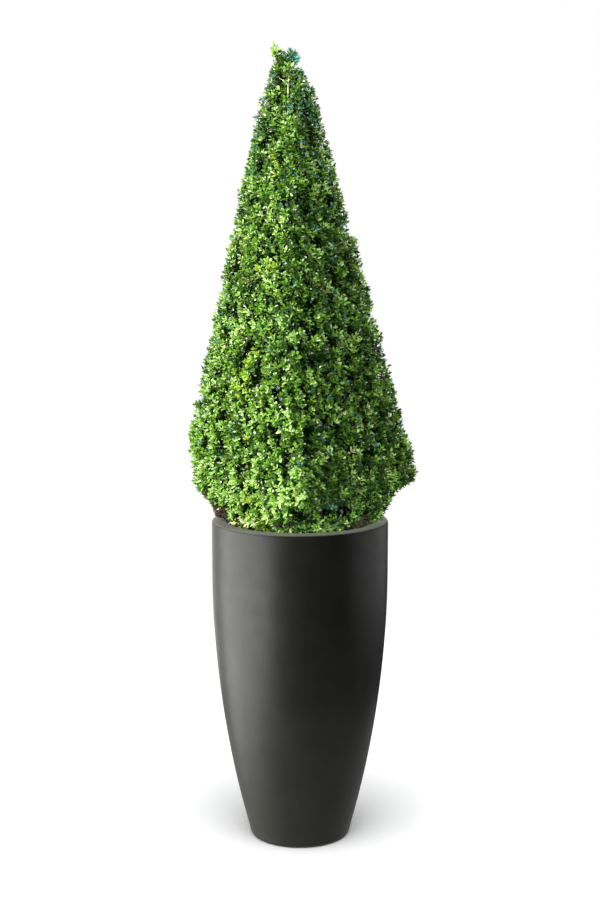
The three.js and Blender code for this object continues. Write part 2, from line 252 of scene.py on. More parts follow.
# Leading stem that shows at the front near the tip: its root, middle and fork as (X from the trunk, Y,
# height), the ends of its two arms, and the clear space in front of it as (lowest, highest height, half
# width, Y that it starts from).
LEADER = ((0.0, 0.0, 2.035), (0.004, -0.100, 2.070), (0.003, -0.062, 2.120))
LEADER_ARMS = ((-0.0215, -0.054, 2.139), (0.006, -0.050, 2.144))
LEADER_WINDOW = (2.089, 2.125, 0.005, -0.050)

# The arms start this far under the fork, and their middles are raised by this much.
ARM_OVERLAP = 0.002
ARM_BEND = 0.003

# A spray: stray of its tip's depth, its lean outwards and upwards, and the stray of its direction.
TIP_STRAY = 0.003
SPRAY_OUT = 0.8
SPRAY_UP = 0.4
SPRAY_STRAY = 0.24

# Pairs of leaves on a spray, from its tip inwards:
# (distance from the tip, spread from the stem in degrees, size).
LEAF_PAIRS = (
    (0.0005, 24, 0.62),
    (0.0045, 44, 0.86),
    (0.0105, 56, 1.0),
    (0.0180, 64, 1.0),
    (0.0265, 72, 0.95),
)

# How leaves stray in their turn round the stem and their lean from it, in radians, and in the tilt of
# their blade, and how far the blade turns to the outside.
LEAF_TURN = 0.2
LEAF_LEAN = 0.14
LEAF_TILT = 0.2
LEAF_FACING = 0.25

# Chance in a leaf's length and width, as (stray, least, most), and in its cupping and its place.
LEAF_LENGTHS = (0.12, 0.7, 1.3)
LEAF_WIDTHS = (0.1, 0.75, 1.25)
LEAF_CUPS = (0.3, 1.9)
LEAF_PLACES = (0.85, 1.15)

# Old leaves inside: their depth, the most that it may be as a share of the crown's reach, the stray of
# their blades from outwards, and their length and width as shares of a full-grown leaf's.
INNER_DEPTH = (0.030, 0.050)
INNER_REACH = 0.7
INNER_TILT = 0.45
INNER_LENGTHS = (1.2, 1.7)
INNER_WIDTH = 1.2

# Outline of half a leaf and its midrib, as (along, across, height) in shares of its length.
LEAF_SIDE = ((0.0, 0.0, 0.0), (0.2, 0.62, 0.0), (0.5, 1.0, 0.012), (0.82, 0.66, -0.02), (1.0, 0.0, -0.03))
LEAF_RIB = ((0.33, 0.0, 0.05), (0.68, 0.0, 0.045))
OLD_LEAF_SIDE = ((0.0, 0.0, 0.0), (0.3, 0.85, 0.0), (0.7, 0.9, 0.0), (1.0, 0.0, -0.03))
OLD_LEAF_RIB = ((0.5, 0.0, 0.05),)

# Light that shines through a leaf: its share, and how much of the leaf's red, green and blue it has.
GLOW_SHARE = 0.2
GLOW_TONE = (1.5, 1.5, 0.6)

# Room that leaves keep from the planter and from the soil.
PLANTER_CLEARANCE = 0.0015
SOIL_CLEARANCE = 0.008

# Finishes of the leaves: how often a spray takes each one on the sunny and on the shady side, and the
# finishes of its youngest and its oldest leaves. The lighter finishes on the sunny side and the darker ones
# on the shady side are partly young growth where the sun reaches and partly painted light and painted shade.
FINISHES = {
    "deep": (0.13, 0.33, "mature", "deep"),
    "mature": (0.20, 0.28, "mid", "deep"),
    "mid": (0.30, 0.19, "bright", "mature"),
    "bright": (0.22, 0.058, "fresh", "mature"),
    "fresh": (0.09, 0.026, "fresh", "mid"),
    "blue": (0.014, 0.036, "mid", "deep"),
    "olive": (0.028, 0.038, "bright", "mature"),
    "faded": (0.002, 0.001, "faded", "mid"),
    "teal": (0.0, 0.0, "teal", "blue"),
    "lime": (1.2, 1.2, "lime", "bright"),
}
FINISH_NAMES = list(FINISHES)

# How sunny a spray is that faces neither side, the chance in it, and how many sprays have young tips.
SUNNY_MIDDLE = 0.36
SUNNY_STRAY = 0.15
YOUNG_SHARE = 0.55

# Width of one patch of alike vigour in the crown, and how much the vigour varies.
VIGOUR_PATCH = 0.075
VIGOUR_BASE = 2.5
VIGOUR_RANGE = 2.2

# Zones of the crown by height, and by the X of the way that a spray faces, which is -1 on the sunny left
# and 1 on the shady right: (where the zone starts, where it is full). The zones steer painted light and
# painted shade in the leaves' finishes.
HEIGHTS = {
    "high": (1.50, 2.20),
    "top": (1.80, 2.05),
    "crest": (2.04, 2.10),
    "low": (1.30, 1.05),
    "dry": (1.08, 1.02),
    "under": (1.00, 0.96),
    "pale": (1.00, 0.94),
    "cool": (1.10, 1.18),
}
SIDES = {
    "high": (-0.30, 0.70),
    "crest": (-0.50, 0.50),
    "low": (-0.0625, -0.9375),
    "dry": (-0.70, -0.95),
    "edge": (-0.74, -0.89),
}

# Single sprays that stand out by their colour: (azimuth in degrees, height, finish). The pale ones low on
# the skirt's left are partly painted light.
ACCENTS = (
    (-112, 2.140, "olive"),
    (-108, 2.128, "olive"),
    (-75, 2.165, "fresh"),
    (-91, 1.033, "fresh"),
    (-12, 1.232, "faded"),
    (-133, 0.943, "faded"),
    (-127, 0.937, "faded"),
    (-121, 0.938, "faded"),
    (-115, 0.944, "faded"),
    (-129, 0.949, "faded"),
    (-123, 0.947, "faded"),
    (-112, 0.938, "faded"),
    (-106, 0.939, "fresh"),
    (-98, 0.942, "faded"),
)

# Places of lush young growth: (azimuth in degrees, height, half width).
LUSH_PLACES = (
    (-129, 0.965, 0.090),
    (-131, 1.220, 0.050),
    (-132, 1.300, 0.055),
    (-132, 1.380, 0.050),
    (-118, 1.640, 0.035),
    (-110, 1.870, 0.030),
    (-119, 1.932, 0.030),
)

# Soil: the gap to the planter's wall, and the level margins along the wall and round the trunk.
SOIL_GAP = 0.0003
WALL_MARGIN = 0.02
TRUNK_MARGIN = (0.03, 0.06)

# Crumbs: the radii between which they lie, and their lift and least and greatest size as shares of the
# full size.
CRUMB_RING = (0.05, 0.225)
CRUMB_LIFT = 0.2
CRUMB_SIZES = (0.25, 1.0)

# Vectors of a point that a shape is set on: its upper side, its length and its size, and how much the
# sizes of leaves, old leaves and crumbs vary.
POINT_VECTORS = ("face", "along", "size")
LEAF_SPREAD = 0.06
INNER_SPREAD = 0.1
CRUMB_SPREAD = 0.3

# Soft light panels: (setting with their power, place, target, size, what they light, what shades them).
PANELS = (
    ("plant_fill", (1.8, -2.2, 3.9), (0, 0, 1.6), (0.8, 0.8), "plant", "plant"),
    ("plant_back", (0.6, 3.0, 3.0), (0, 0, 1.5), (2.0, 1.6), "plant", "plant"),
    ("plant_low", (0.34, -0.70, 0.42), (0.15, -0.2, 0.98), (1.1, 0.3), "plant", "plant"),
    ("pot_key", (-2.9, -1.1, 0.35), (0, -1.1, 0.4), (5.6, 3.2), "planter", "planter"),
    ("pot_side", (-1.8, 3.4, 0.3), (-0.3, 0, 0.6), (1.5, 2.2), "planter", "planter"),
    ("pot_edge", (2.6, 1.0, 1.0), (0, 0.7, 0.9), (4.2, 2.2), "planter", "planter"),
    ("pot_top", (-1.4, 0.5, 3.2), (0, 0, 0.9), (2.0, 1.6), "planter", "planter"),
    ("pot_back", (0.0, 3.2, 1.7), (0, 0, 0.9), (3.0, 1.4), "planter", "object"),
    ("pot_bounce", (0.0, 0.0, -0.004), (0, 0, 1.0), (1.7, 1.7), "planter", "planter"),
)

# Suns: (setting with their strength, place, spread in degrees, tone, what they light, what shades them).
SUNS = (
    ("plant_sun", (-3.25, -1.4, 3.8), 1, (1.0, 0.98, 0.91), "plant", "plant"),
    ("floor_wash", (-0.1, -0.8, 4.4), 56, (1, 1, 1), "floor", "planter"),
)
SUN_TARGET = (0, 0, 1.5)

FLOOR_RADIUS = 2.4
FLOOR_THICKNESS = 0.02
FLOOR_SEGMENTS = 96

CAMERA_PLACE = (0.0, -4.2422, 1.69095)
CAMERA_TILT = 0.13413
CAMERA_LENS = 60.64


def linear(text):
    """Linear colour of an sRGB hex value."""
    parts = [int(text[i:i + 2], 16) / 255 for i in (1, 3, 5)]
    return tuple(c / 12.92 if c <= 0.04045 else ((c + 0.055) / 1.055) ** 2.4 for c in parts)


def length(name, description, default):
    """Property for a size in metres."""
    return bpy.props.FloatProperty(
        name=name, description=description, default=default, min=0, precision=4, unit="LENGTH"
    )


def colour(name, description, default):
    """Property for a colour given as an sRGB hex value."""
    return bpy.props.FloatVectorProperty(
        name=name, description=description, default=linear(default), min=0, max=1, subtype="COLOR"
    )


def number(name, description, default):
    """Property for a plain number."""
    return bpy.props.FloatProperty(name=name, description=description, default=default)


def count(name, description, default):
    """Property for a whole number."""
    return bpy.props.IntProperty(name=name, description=description, default=default, min=0)


class PlanterSettings(bpy.types.PropertyGroup):
    colour: colour("Composite", "Body colour of the painted composite", "#292a22")
    worn_colour: colour("Worn composite", "Colour where the paint is chalky", "#313229")
    # The rim's top takes a lighter colour than the body: painted light that the top of the rim catches.
    rim_painted_light_colour: colour("Rim", "Colour of the weathered, dusty top of the rim", "#72736b")
    segments: count("Segments", "Steps round the planter", 160)
    mottle: length("Mottle", "Width of one chalky patch", 0.09)
    grain: length("Grain", "Width of one grain of the satin paint, drawn coarse to show", 0.0016)


class SoilSettings(bpy.types.PropertyGroup):
    colour: colour("Compost", "Colour of moist compost", "#2b1d15")
    dry_colour: colour("Dry compost", "Colour of the crumbs that dried out", "#4a3626")
    relief: length("Relief", "Height of the lumps in the surface", 0.006)
    lump: length("Lump", "Width of one lump", 0.03)
    crumb: length("Crumb", "Width of one crumb", 0.007)
    crumbs: count("Crumbs", "Crumbs on the surface", 900)
    seed: count("Seed", "Seed of the crumbs' places", 4)


class WoodSettings(bpy.types.PropertyGroup):
    bark: colour("Bark", "Colour of the old corky bark", "#8a7558")
    fissure: colour("Fissures", "Colour down in the bark's fissures", "#4d3d2c")
    # Bare twigs in the skirt: their dark red-brown bark, painted darker still with painted shade of the
    # skirt over them.
    old_twig_and_painted_shade: colour("Old twig", "Colour of bare twigs in the skirt", "#1d0a09")
    grey_twig_and_painted_shade: colour("Grey twig", "Colour of the oldest bare twigs", "#3e2422")
    # The leading stem's pale colour is painted paler still: painted light where the leaves in front of it
    # shade it.
    leader: colour("Leader", "Colour of the smooth leading stem near the tip", "#dcddb0")
    twig: colour("Twig", "Colour of young twigs", "#7c7445")
    young_twig: colour("Young twig", "Colour of twigs of this year", "#7c8a45")
    relief: length("Relief", "Depth of the bark's fissures", 0.0016)
    fissure_width: length("Fissure width", "Width of one plate of bark", 0.006)
    fissure_length: length("Fissure length", "Length of one plate of bark", 0.028)
    limbs: count("Limbs", "Limbs that grow from the trunk into the crown", 240)
    branches: count("Branches", "Branches that grow from the limbs", 1400)
    bare_twigs: count("Bare twigs", "Bare twigs in each bare stretch of the skirt", 330)
    seed: count("Seed", "Seed of the limbs and branches", 5)


class FoliageSettings(bpy.types.PropertyGroup):
    sprays: count("Sprays", "Leafy sprays on the clipped surface", 6500)
    stem: length("Stem", "Straight end of one spray's stem", 0.030)
    leaf: length("Leaf", "Length of a full-grown leaf", 0.0158)
    width: number("Leaf width", "Width of a leaf as a share of its length", 0.46)
    inset: length("Inset", "Depth of the spray tips under the outline", 0.007)
    clump: length("Clump", "How far clumps stand in or out of the outline", 0.009)
    clump_size: length("Clump size", "Width of one clump", 0.040)
    crevice: length("Crevice", "Depth of the gaps between clumps", 0.020)
    proud: length("Proud", "How far a leaf may stand out of the outline", 0.012)
    inner: count("Inner leaves", "Old leaves inside the clipped surface", 13000)
    seed: count("Seed", "Seed of the sprays and their leaves", 11)


class LeafColours(bpy.types.PropertyGroup):
    # Deep leaves are dealt more on the shady side, where they are partly painted shade.
    deep: colour("Deep", "Old leaves in shade", "#224c0a")
    mature: colour("Mature", "Full-grown leaves", "#446e20")
    mid: colour("Mid", "Leaves of this year", "#659226")
    bright: colour("Bright", "Young leaves", "#81b446")
    fresh: colour("Fresh", "Newest leaves at the tips", "#b4d784")
    # Blue-green leaves have a waxy bloom, and where they are dealt on the shady side and at the far left
    # edge they are partly painted cool shade and painted cool reflection.
    blue: colour("Blue-green", "Leaves with a waxy bloom", "#568c70")
    # Teal leaves are partly a thick waxy bloom and partly painted light on the right shoot.
    teal: colour("Teal", "Leaves with a thick waxy bloom, at the tip", "#84c6c6")
    olive: colour("Olive", "Leaves that are turning", "#6f7f38")
    lime: colour("Lime", "Soft young leaves where the growth is lush", "#9fbf3f")
    # Faded leaves are partly pale bleached leaves and partly painted light where they are dealt low on the
    # skirt's sunny side.
    faded: colour("Faded", "Leaves bleached under the skirt", "#d0d3a4")
    # Old leaves inside are darker, and this colour is darker still: painted shade of the crown's inside,
    # that darkens the gaps between the sprays.
    inner: colour("Inner", "Old leaves inside the crown", "#0b2405")


class StageSettings(bpy.types.PropertyGroup):
    floor: colour("Floor", "Pale studio floor", "#f4f4f4")
    plant_sun: number("Plant sun", "Strength of the sun on the plant", 9.0)
    plant_fill: number("Plant fill", "Power of the panel on the plant's shady side, in watts", 131)
    plant_back: number("Plant back", "Power of the panel behind the plant, in watts", 100)
    plant_low: number("Plant low", "Power of the low panel under the plant's skirt, in watts", 11)
    pot_key: number("Pot key", "Power of the wide panel on the planter's left, in watts", 229)
    pot_side: number("Pot side", "Power of the panel behind the planter's left, in watts", 14)
    pot_edge: number("Pot edge", "Power of the panel on the planter's right, in watts", 18)
    pot_top: number("Pot top", "Power of the panel over the planter's rim, in watts", 66)
    pot_back: number("Pot back", "Power of the panel behind the planter's rim, in watts", 40)
    pot_bounce: number("Pot bounce", "Power of the low light that the floor throws back, in watts", 2.5)
    floor_wash: number("Floor wash", "Strength of the soft light on the floor", 4.6)
    ambient: number("Ambient", "Strength of the room's own light", 0.05)


def unit(vectors):
    """Vectors scaled to length one."""
    return vectors / np.linalg.norm(vectors, axis=-1, keepdims=True)


def ramp(values, start, end):
    """Share that rises from 0 at the start to 1 at the end, which may be the lower value."""
    return np.clip((values - start) / (end - start), 0, 1)


def at_height(stations, height, column):
    """Value of one column of a station list at a height, straight between stations."""
    return np.interp(height, [row[0] for row in stations], [row[column] for row in stations])


def lean_at(height):
    """X of the plant's centre line."""
    return -LEAN_SLOPE * np.maximum(0, height - LEAN_FROM)


def crown_middle(height):
    """X of the middle of the crown's section."""
    return lean_at(height) + at_height(SKIRT_BULGE, height, 1)


def crown_reach(azimuth, height):
    """Distance from the middle of the crown's section to the clipped surface."""
    corner = at_height(CROWN_OUTLINE, height, 1)
    power = at_height(CROWN_OUTLINE, height, 2)
    spread = np.abs(np.cos(azimuth)) ** power + np.abs(np.sin(azimuth)) ** power
    return corner / spread ** (1 / power)


def under_surface(azimuth, depth, height):
    """Points of the crown at a depth under its clipped surface."""
    radius = crown_reach(azimuth, height) - depth
    x = crown_middle(height) + radius * np.cos(azimuth)
    return np.stack((x, radius * np.sin(azimuth), height), -1)


def surface_normal(azimuth, height):
    """Outward direction of the clipped surface."""
    turn, rise = 0.02, 0.004
    round_step = under_surface(azimuth + turn, 0, height) - under_surface(azimuth - turn, 0, height)
    up_step = under_surface(azimuth, 0, height + rise) - under_surface(azimuth, 0, height - rise)
    return unit(np.cross(round_step, up_step))


def even_heights(total, step=0.004):
    """Heights that give every twig an equal share of the clipped surface."""
    heights = np.arange(CROWN_OUTLINE[0][0] + step, CROWN_OUTLINE[-1][0] - step, step)
    reach = at_height(CROWN_OUTLINE, heights, 1)
    slant = np.hypot(step, at_height(CROWN_OUTLINE, heights + step, 1) - reach)
    area = np.cumsum(reach * slant)
    return np.interp(area[-1] * (np.arange(total) + 0.5) / total, area, heights)


def square_azimuths(total, draw):
    """Azimuths that wind round the outline of a square by the golden section."""
    share = (np.arange(total) * GOLDEN_SHARE) % 1 * 4
    quarter = np.floor(share)
    along = share - quarter
    jitter = AZIMUTH_JITTER * (draw.random(total) - 0.5)
    return quarter * math.pi / 2 + np.arctan2(along, 1 - along) + jitter


def planter_radius(height):
    """Outer radius of the planter's wall."""
    drop = RIM_RADIUS - FOOT_RADIUS
    arc_radius = (ARC_TOP ** 2 + drop ** 2) / (2 * drop)
    below = np.maximum(0, ARC_TOP - height)
    return RIM_RADIUS - arc_radius + np.sqrt(arc_radius ** 2 - below ** 2)


def trunk_point(height):
    """Point of the trunk's line: it follows the lean, with a slight sway."""
    share = (height - TRUNK_FOOT) / (TRUNK_TOP - TRUNK_FOOT)
    sway = TRUNK_SWAY * np.sin(share * math.tau)
    return np.stack((lean_at(height) + sway, sway / 2, height), -1)


def trunk_radius(height):
    """Radius of the trunk: an even taper with the root flare at the foot."""
    share = (height - TRUNK_FOOT) / (TRUNK_TOP - TRUNK_FOOT)
    flare = TRUNK_FLARE * np.exp(-(height - TRUNK_FOOT) / FLARE_HEIGHT)
    return TRUNK_RADIUS + (TRUNK_TIP_RADIUS - TRUNK_RADIUS) * share + flare


def bend(start, middle, end, share):
    """Points of curves from start to end that bend towards the middle."""
    return (1 - share) ** 2 * start + 2 * share * (1 - share) * middle + share ** 2 * end


def bends(start, middle, end, stations):
    """Curved lines as an array of [line, station, xyz]."""
    share = np.linspace(0, 1, stations)[None, :, None]
    return bend(start[:, None], middle[:, None], end[:, None], share)


def bough_lines(stations):
    """Lines of the low boughs."""
    azimuth = np.radians(BOUGH_AZIMUTH + 360 / BOUGH_COUNT * np.arange(BOUGH_COUNT))
    fork = SOIL_TOP + BOUGH_FORK + BOUGH_FORK_STEP * (np.arange(BOUGH_COUNT) % 3)
    outward = np.stack((np.cos(azimuth), np.sin(azimuth), np.zeros(BOUGH_COUNT)), -1)
    start = UP * fork[:, None]
    middle = start + outward * BOUGH_BEND[0] + UP * BOUGH_BEND[1]
    return bends(start, middle, start + outward * BOUGH_REACH + UP * BOUGH_RISE, stations)


def add_node(tree, kind, inputs=None, **settings):
    """Adds a node, sets its properties, and sets or links its inputs."""
    node = tree.nodes.new(kind)
    for name, value in settings.items():
        setattr(node, name, value)
    for key, value in (inputs or {}).items():
        if isinstance(value, bpy.types.NodeSocket):
            tree.links.new(value, node.inputs[key])
        else:
            node.inputs[key].default_value = value
    return node


def rgba(value):
    """Colour with full opacity."""
    return (*value, 1.0)


def new_material(name):
    """Empty material, its node tree and the position that its patterns follow."""
    material = bpy.data.materials.new(name)
    material.use_nodes = True
    material.node_tree.nodes.clear()
    place = add_node(material.node_tree, "ShaderNodeTexCoord").outputs["Object"]
    return material, material.node_tree, place


def patches(tree, place, width, low, high, detail=3.0):
    """Pattern of soft patches of a real width, spread from the low to the high value."""
    field = add_node(tree, "ShaderNodeTexNoise", {"Vector": place, "Scale": 1 / width, "Detail": detail})
    limits = {"Value": field.outputs["Fac"], "From Min": 0.3, "From Max": 0.7, "To Min": low, "To Max": high}
    return add_node(tree, "ShaderNodeMapRange", limits).outputs["Result"]


def two_tone(tree, place, width, first, second):
    """Colour that goes from one tone to another in soft patches of a real width."""
    tones = {"Factor": patches(tree, place, width, 0.0, 1.0), 6: rgba(first), 7: rgba(second)}
    return add_node(tree, "ShaderNodeMix", tones, data_type="RGBA").outputs[2]


def finish_material(material, tree, surface):
    """Links the surface to the material's output."""
    add_node(tree, "ShaderNodeOutputMaterial", {"Surface": surface})
    return material


def anthracite_composite(settings):
    """Satin paint sprayed on glass-fibre composite: soft highlights, faint chalky patches, and a dull rim
    top with painted light on it.
    """
    material, tree, place = new_material("satin anthracite fibre composite")
    height = add_node(tree, "ShaderNodeSeparateXYZ", {"Vector": place}).outputs["Z"]
    # The rim's top: painted light in a lighter colour, and a duller finish.
    rim = {"Value": height, "From Min": RIM_HEIGHT - 0.5 * RIM_ROUNDING, "From Max": RIM_HEIGHT - 0.0004}
    rim_top_painted_light = add_node(tree, "ShaderNodeMapRange", rim).outputs["Result"]
    body = two_tone(tree, place, settings.mottle, settings.colour, settings.worn_colour)
    tones = {"Factor": rim_top_painted_light, 6: body, 7: rgba(settings.rim_painted_light_colour)}
    satin_to_dull = {"Factor": rim_top_painted_light, "A": patches(tree, place, settings.mottle / 3, 0.37, 0.44), "B": 0.75}
    grain = {"Height": patches(tree, place, settings.grain, 0.0, 1.0), "Strength": 0.12, "Distance": 0.0002}
    paint = {
        "Base Color": add_node(tree, "ShaderNodeMix", tones, data_type="RGBA").outputs[2],
        "Roughness": add_node(tree, "ShaderNodeMix", satin_to_dull).outputs[0],
        "Normal": add_node(tree, "ShaderNodeBump", grain).outputs["Normal"],
        "IOR": 1.5,
    }
    surface = add_node(tree, "ShaderNodeBsdfPrincipled", paint).outputs["BSDF"]
    return finish_material(material, tree, surface)


def potting_compost(settings):
    """Moist peat compost, sieved and pressed: dark, dull and lumpy, with paler dry crumbs."""
    material, tree, place = new_material("moist potting compost")
    grit = {"Height": patches(tree, place, settings.crumb / 4, 0.0, 1.0), "Strength": 0.6, "Distance": 0.001}
    soil = {
        "Base Color": two_tone(tree, place, settings.crumb, settings.colour, settings.dry_colour),
        "Roughness": 0.95,
        "Normal": add_node(tree, "ShaderNodeBump", grit).outputs["Normal"],
    }
    surface = add_node(tree, "ShaderNodeBsdfPrincipled", soil).outputs["BSDF"]
    return finish_material(material, tree, surface)


def boxwood_bark(settings):
    """Corky boxwood bark, weathered: pale plates along the stem with dark fissures between them."""
    material, tree, place = new_material("corky boxwood bark")
    shrink = (1, 1, settings.fissure_width / settings.fissure_length)
    along = add_node(tree, "ShaderNodeMapping", {"Vector": place, "Scale": shrink}).outputs["Vector"]
    plates = patches(tree, along, settings.fissure_width, 0.0, 1.0)
    relief = {"Height": plates, "Strength": 0.5, "Distance": 0.001}
    bark = {
        "Base Color": two_tone(tree, along, settings.fissure_width, settings.fissure, settings.bark),
        "Roughness": 0.88,
        "Normal": add_node(tree, "ShaderNodeBump", relief).outputs["Normal"],
    }
    surface = add_node(tree, "ShaderNodeBsdfPrincipled", bark).outputs["BSDF"]
    return finish_material(material, tree, surface)


def twig_skin(name, first, second):
    """Skin of boxwood twigs, grown: two dull tones in short stretches."""
    material, tree, place = new_material(name)
    skin = {"Base Color": two_tone(tree, place, TWIG_TINT, first, second), "Roughness": 0.7}
    surface = add_node(tree, "ShaderNodeBsdfPrincipled", skin).outputs["BSDF"]
    return finish_material(material, tree, surface)


def waxy_leaf(name, tone):
    """Box leaf with its waxy cuticle: pale sharp glints on top, and light that glows through."""
    material, tree, place = new_material(f"waxy box leaf {name}")
    cuticle = {
        "Base Color": rgba(tone),
        "Roughness": patches(tree, place, 0.012, 0.30, 0.44, detail=1.0),
        "IOR": 1.6,
    }
    top = add_node(tree, "ShaderNodeBsdfPrincipled", cuticle).outputs["BSDF"]
    lit_through = rgba(min(1, part * gain) for part, gain in zip(tone, GLOW_TONE))
    glow = add_node(tree, "ShaderNodeBsdfTranslucent", {"Color": lit_through}).outputs["BSDF"]
    surface = add_node(tree, "ShaderNodeMixShader", {0: GLOW_SHARE, 1: top, 2: glow}).outputs["Shader"]
    return finish_material(material, tree, surface)


def studio_paper(settings):
    """Seamless studio paper, matt: it takes a soft shadow and no highlight."""
    material, tree, place = new_material("matt studio paper")
    sheet = {"Base Color": rgba(settings.floor), "Roughness": patches(tree, place, 0.5, 0.86, 0.94)}
    surface = add_node(tree, "ShaderNodeBsdfPrincipled", sheet).outputs["BSDF"]
    return finish_material(material, tree, surface)


def mesh_from(name, points, faces, crease=None):
    """Smooth mesh from points and faces, with hard edges above the crease angle in degrees."""
    mesh = bpy.data.meshes.new(name)
    mesh.from_pydata(np.asarray(points).tolist(), [], faces)
    mesh.shade_smooth()
    if crease:
        mesh.set_sharp_from_angle(angle=math.radians(crease))
    return mesh


def show(name, mesh, material, slot, *nodes):
    """Puts a finished mesh in the scene as a piece that stands for CAD nodes."""
    piece = bpy.data.objects.new(name, mesh)
    bpy.context.scene.collection.objects.link(piece)
    if material.name not in mesh.materials:
        mesh.materials.append(material)
    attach(piece, "root")
    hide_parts(*nodes)
    return piece


def turned(profile, segments):
    """Points and faces of a profile of (radius, height) turned about Z, with both ends on the axis."""
    angle = np.linspace(0, math.tau, segments, endpoint=False)
    rings = [
        np.stack((radius * np.cos(angle), radius * np.sin(angle), np.full(segments, height)), -1)
        for radius, height in profile[1:-1]
    ]
    ends = [[(0, 0, profile[0][1])], [(0, 0, profile[-1][1])]]
    points = np.concatenate([ends[0], *rings, ends[1]])
    steps = [(j, (j + 1) % segments) for j in range(segments)]
    last = 1 + segments * (len(rings) - 1)
    faces = [(0, 1 + after, 1 + here) for here, after in steps]
    faces += [(last + here, last + after, len(points) - 1) for here, after in steps]
    for ring in range(len(rings) - 1):
        low = 1 + ring * segments
        high = low + segments
        faces += [(low + here, low + after, high + after, high + here) for here, after in steps]
    return points, faces


def rounding(centre, radius, start, end, steps):
    """Part of a circle of a profile, between two angles in degrees."""
    angles = np.radians(np.linspace(start, end, steps + 1))
    return [(centre[0] + radius * math.cos(a), centre[1] + radius * math.sin(a)) for a in angles]


def planter_profile():
    """Profile of the hollow planter: foot, outer wall, rim, flange and inside."""
    foot = (planter_radius(FOOT_ROUNDING) - FOOT_ROUNDING, FOOT_ROUNDING)
    inner = [(planter_radius(z) - WALL, z) for z in np.linspace(ARC_TOP, FLOOR + FOOT_ROUNDING, 24)]
    under = RIM_HEIGHT - FLANGE_THICKNESS
    return [
        (0, 0),
        *rounding(foot, FOOT_ROUNDING, -90, 0, 8),
        *[(planter_radius(z), z) for z in np.linspace(FOOT_ROUNDING, ARC_TOP, 49)[1:]],
        *rounding((RIM_RADIUS - RIM_ROUNDING, RIM_HEIGHT - RIM_ROUNDING), RIM_ROUNDING, 0, 90, 8),
        *rounding((MOUTH_RADIUS + LIP_ROUNDING, RIM_HEIGHT - LIP_ROUNDING), LIP_ROUNDING, 90, 180, 5),
        (MOUTH_RADIUS, under),
        (RIM_RADIUS - WALL, under),
        *inner,
        (inner[-1][0] - FOOT_ROUNDING, FLOOR),
        (0, FLOOR),
    ]


def soil_points():
    """Points and faces of the soil: it fills the planter, and its top is lumpy."""
    fill = WALL + SOIL_GAP
    heights = np.linspace(FLOOR + FOOT_ROUNDING, ARC_TOP, 20)
    foot = (planter_radius(heights[0]) - fill - FOOT_ROUNDING, SOIL_LOW)
    side = [(planter_radius(z) - fill, z) for z in heights]
    top = [(radius, SOIL_TOP) for radius in np.linspace(RIM_RADIUS - fill, 0.002, 60)]
    return turned([(0, SOIL_LOW), foot, *side, *top, (0, SOIL_TOP)], 120)


def lumpy(points, settings):
    """Heights of the soil's lumps, level at the wall and round the trunk."""
    radius = np.hypot(points[:, 0], points[:, 1])
    wall = RIM_RADIUS - WALL
    level = ramp(radius, wall, wall - WALL_MARGIN) * ramp(radius, *TRUNK_MARGIN)
    places = [Vector(point) for point in points]
    coarse = np.array([noise.noise(place / settings.lump) for place in places])
    fine = np.array([noise.noise(place * 3 / settings.lump) for place in places])
    return settings.relief * (coarse + 0.5 * fine) * level


def limb_rings(lines, radii, sides):
    """Rings round limbs as [limb, station, side, xyz], and the directions out from their lines."""
    along = unit(np.gradient(lines, axis=1))
    steep = np.abs(along[..., 2]).mean(1) > 0.9
    guide = np.where(steep[:, None, None], np.array((1.0, 0, 0)), UP)
    across = unit(np.cross(guide, along))
    aside = np.cross(along, across)
    angle = np.linspace(0, math.tau, sides, endpoint=False)[:, None]
    outward = np.cos(angle) * across[:, :, None] + np.sin(angle) * aside[:, :, None]
    return lines[:, :, None] + radii[..., None, None] * outward, outward


def limb_faces(limbs, stations, sides):
    """Faces of the rings of limbs, closed at both ends."""
    start = np.arange(limbs) * stations * sides
    ring = np.arange(stations - 1) * sides
    here = np.arange(sides)
    after = (here + 1) % sides
    low = start[:, None, None] + ring[None, :, None]
    walls = np.stack((low + here, low + after, low + sides + after, low + sides + here), -1).reshape(-1, 4)
    roots = start[:, None] + here[::-1]
    tips = start[:, None] + (stations - 1) * sides + here
    return walls.tolist() + roots.tolist() + tips.tolist()


def show_stems(kind, lines, skin, node, prefix=""):
    """Puts the tapering stems of one kind in the scene as one piece."""
    root, tip, sides = STEMS[kind]
    share = np.linspace(0, 1, lines.shape[1])
    widths = np.broadcast_to(root + (tip - root) * share, lines.shape[:2])
    rings, _ = limb_rings(lines, widths, sides)
    mesh = mesh_from(prefix + kind, rings.reshape(-1, 3), limb_faces(*lines.shape[:2], sides))
    show(prefix + kind, mesh, skin, "bark", node)


def barked_mesh(name, lines, widths, sides, settings):
    """Limbs whose bark has real relief: plates along the stem with fissures between them."""
    rings, outward = limb_rings(lines, widths, sides)
    flat = rings.reshape(-1, 3)
    cell = Vector((settings.fissure_width, settings.fissure_width, settings.fissure_length))
    fissures = np.array([abs(noise.noise(Vector([p[i] / cell[i] for i in range(3)]))) for p in flat])
    depth = settings.relief * (fissures.reshape(widths.shape + (sides,)) - BARK_LEVEL)
    share = np.minimum(1, widths / TRUNK_RADIUS)[..., None]
    rings = rings + outward * (depth * share)[..., None]
    return mesh_from(name, rings.reshape(-1, 3), limb_faces(len(lines), lines.shape[1], sides))


def nearest(points, targets):
    """Index of the nearest target to each point."""
    tree = kdtree.KDTree(len(targets))
    for index, target in enumerate(targets):
        tree.insert(target, index)
    tree.balance()
    return np.array([tree.find(point)[1] for point in points])


def wood_tips(total, depth, most, draw):
    """Heights and tips of limbs or branches that end at a depth under the clipped surface."""
    heights = even_heights(total)
    azimuths = square_azimuths(total, draw)
    depths = np.minimum(depth, most * crown_reach(azimuths, heights))
    return heights, under_surface(azimuths, depths, heights)


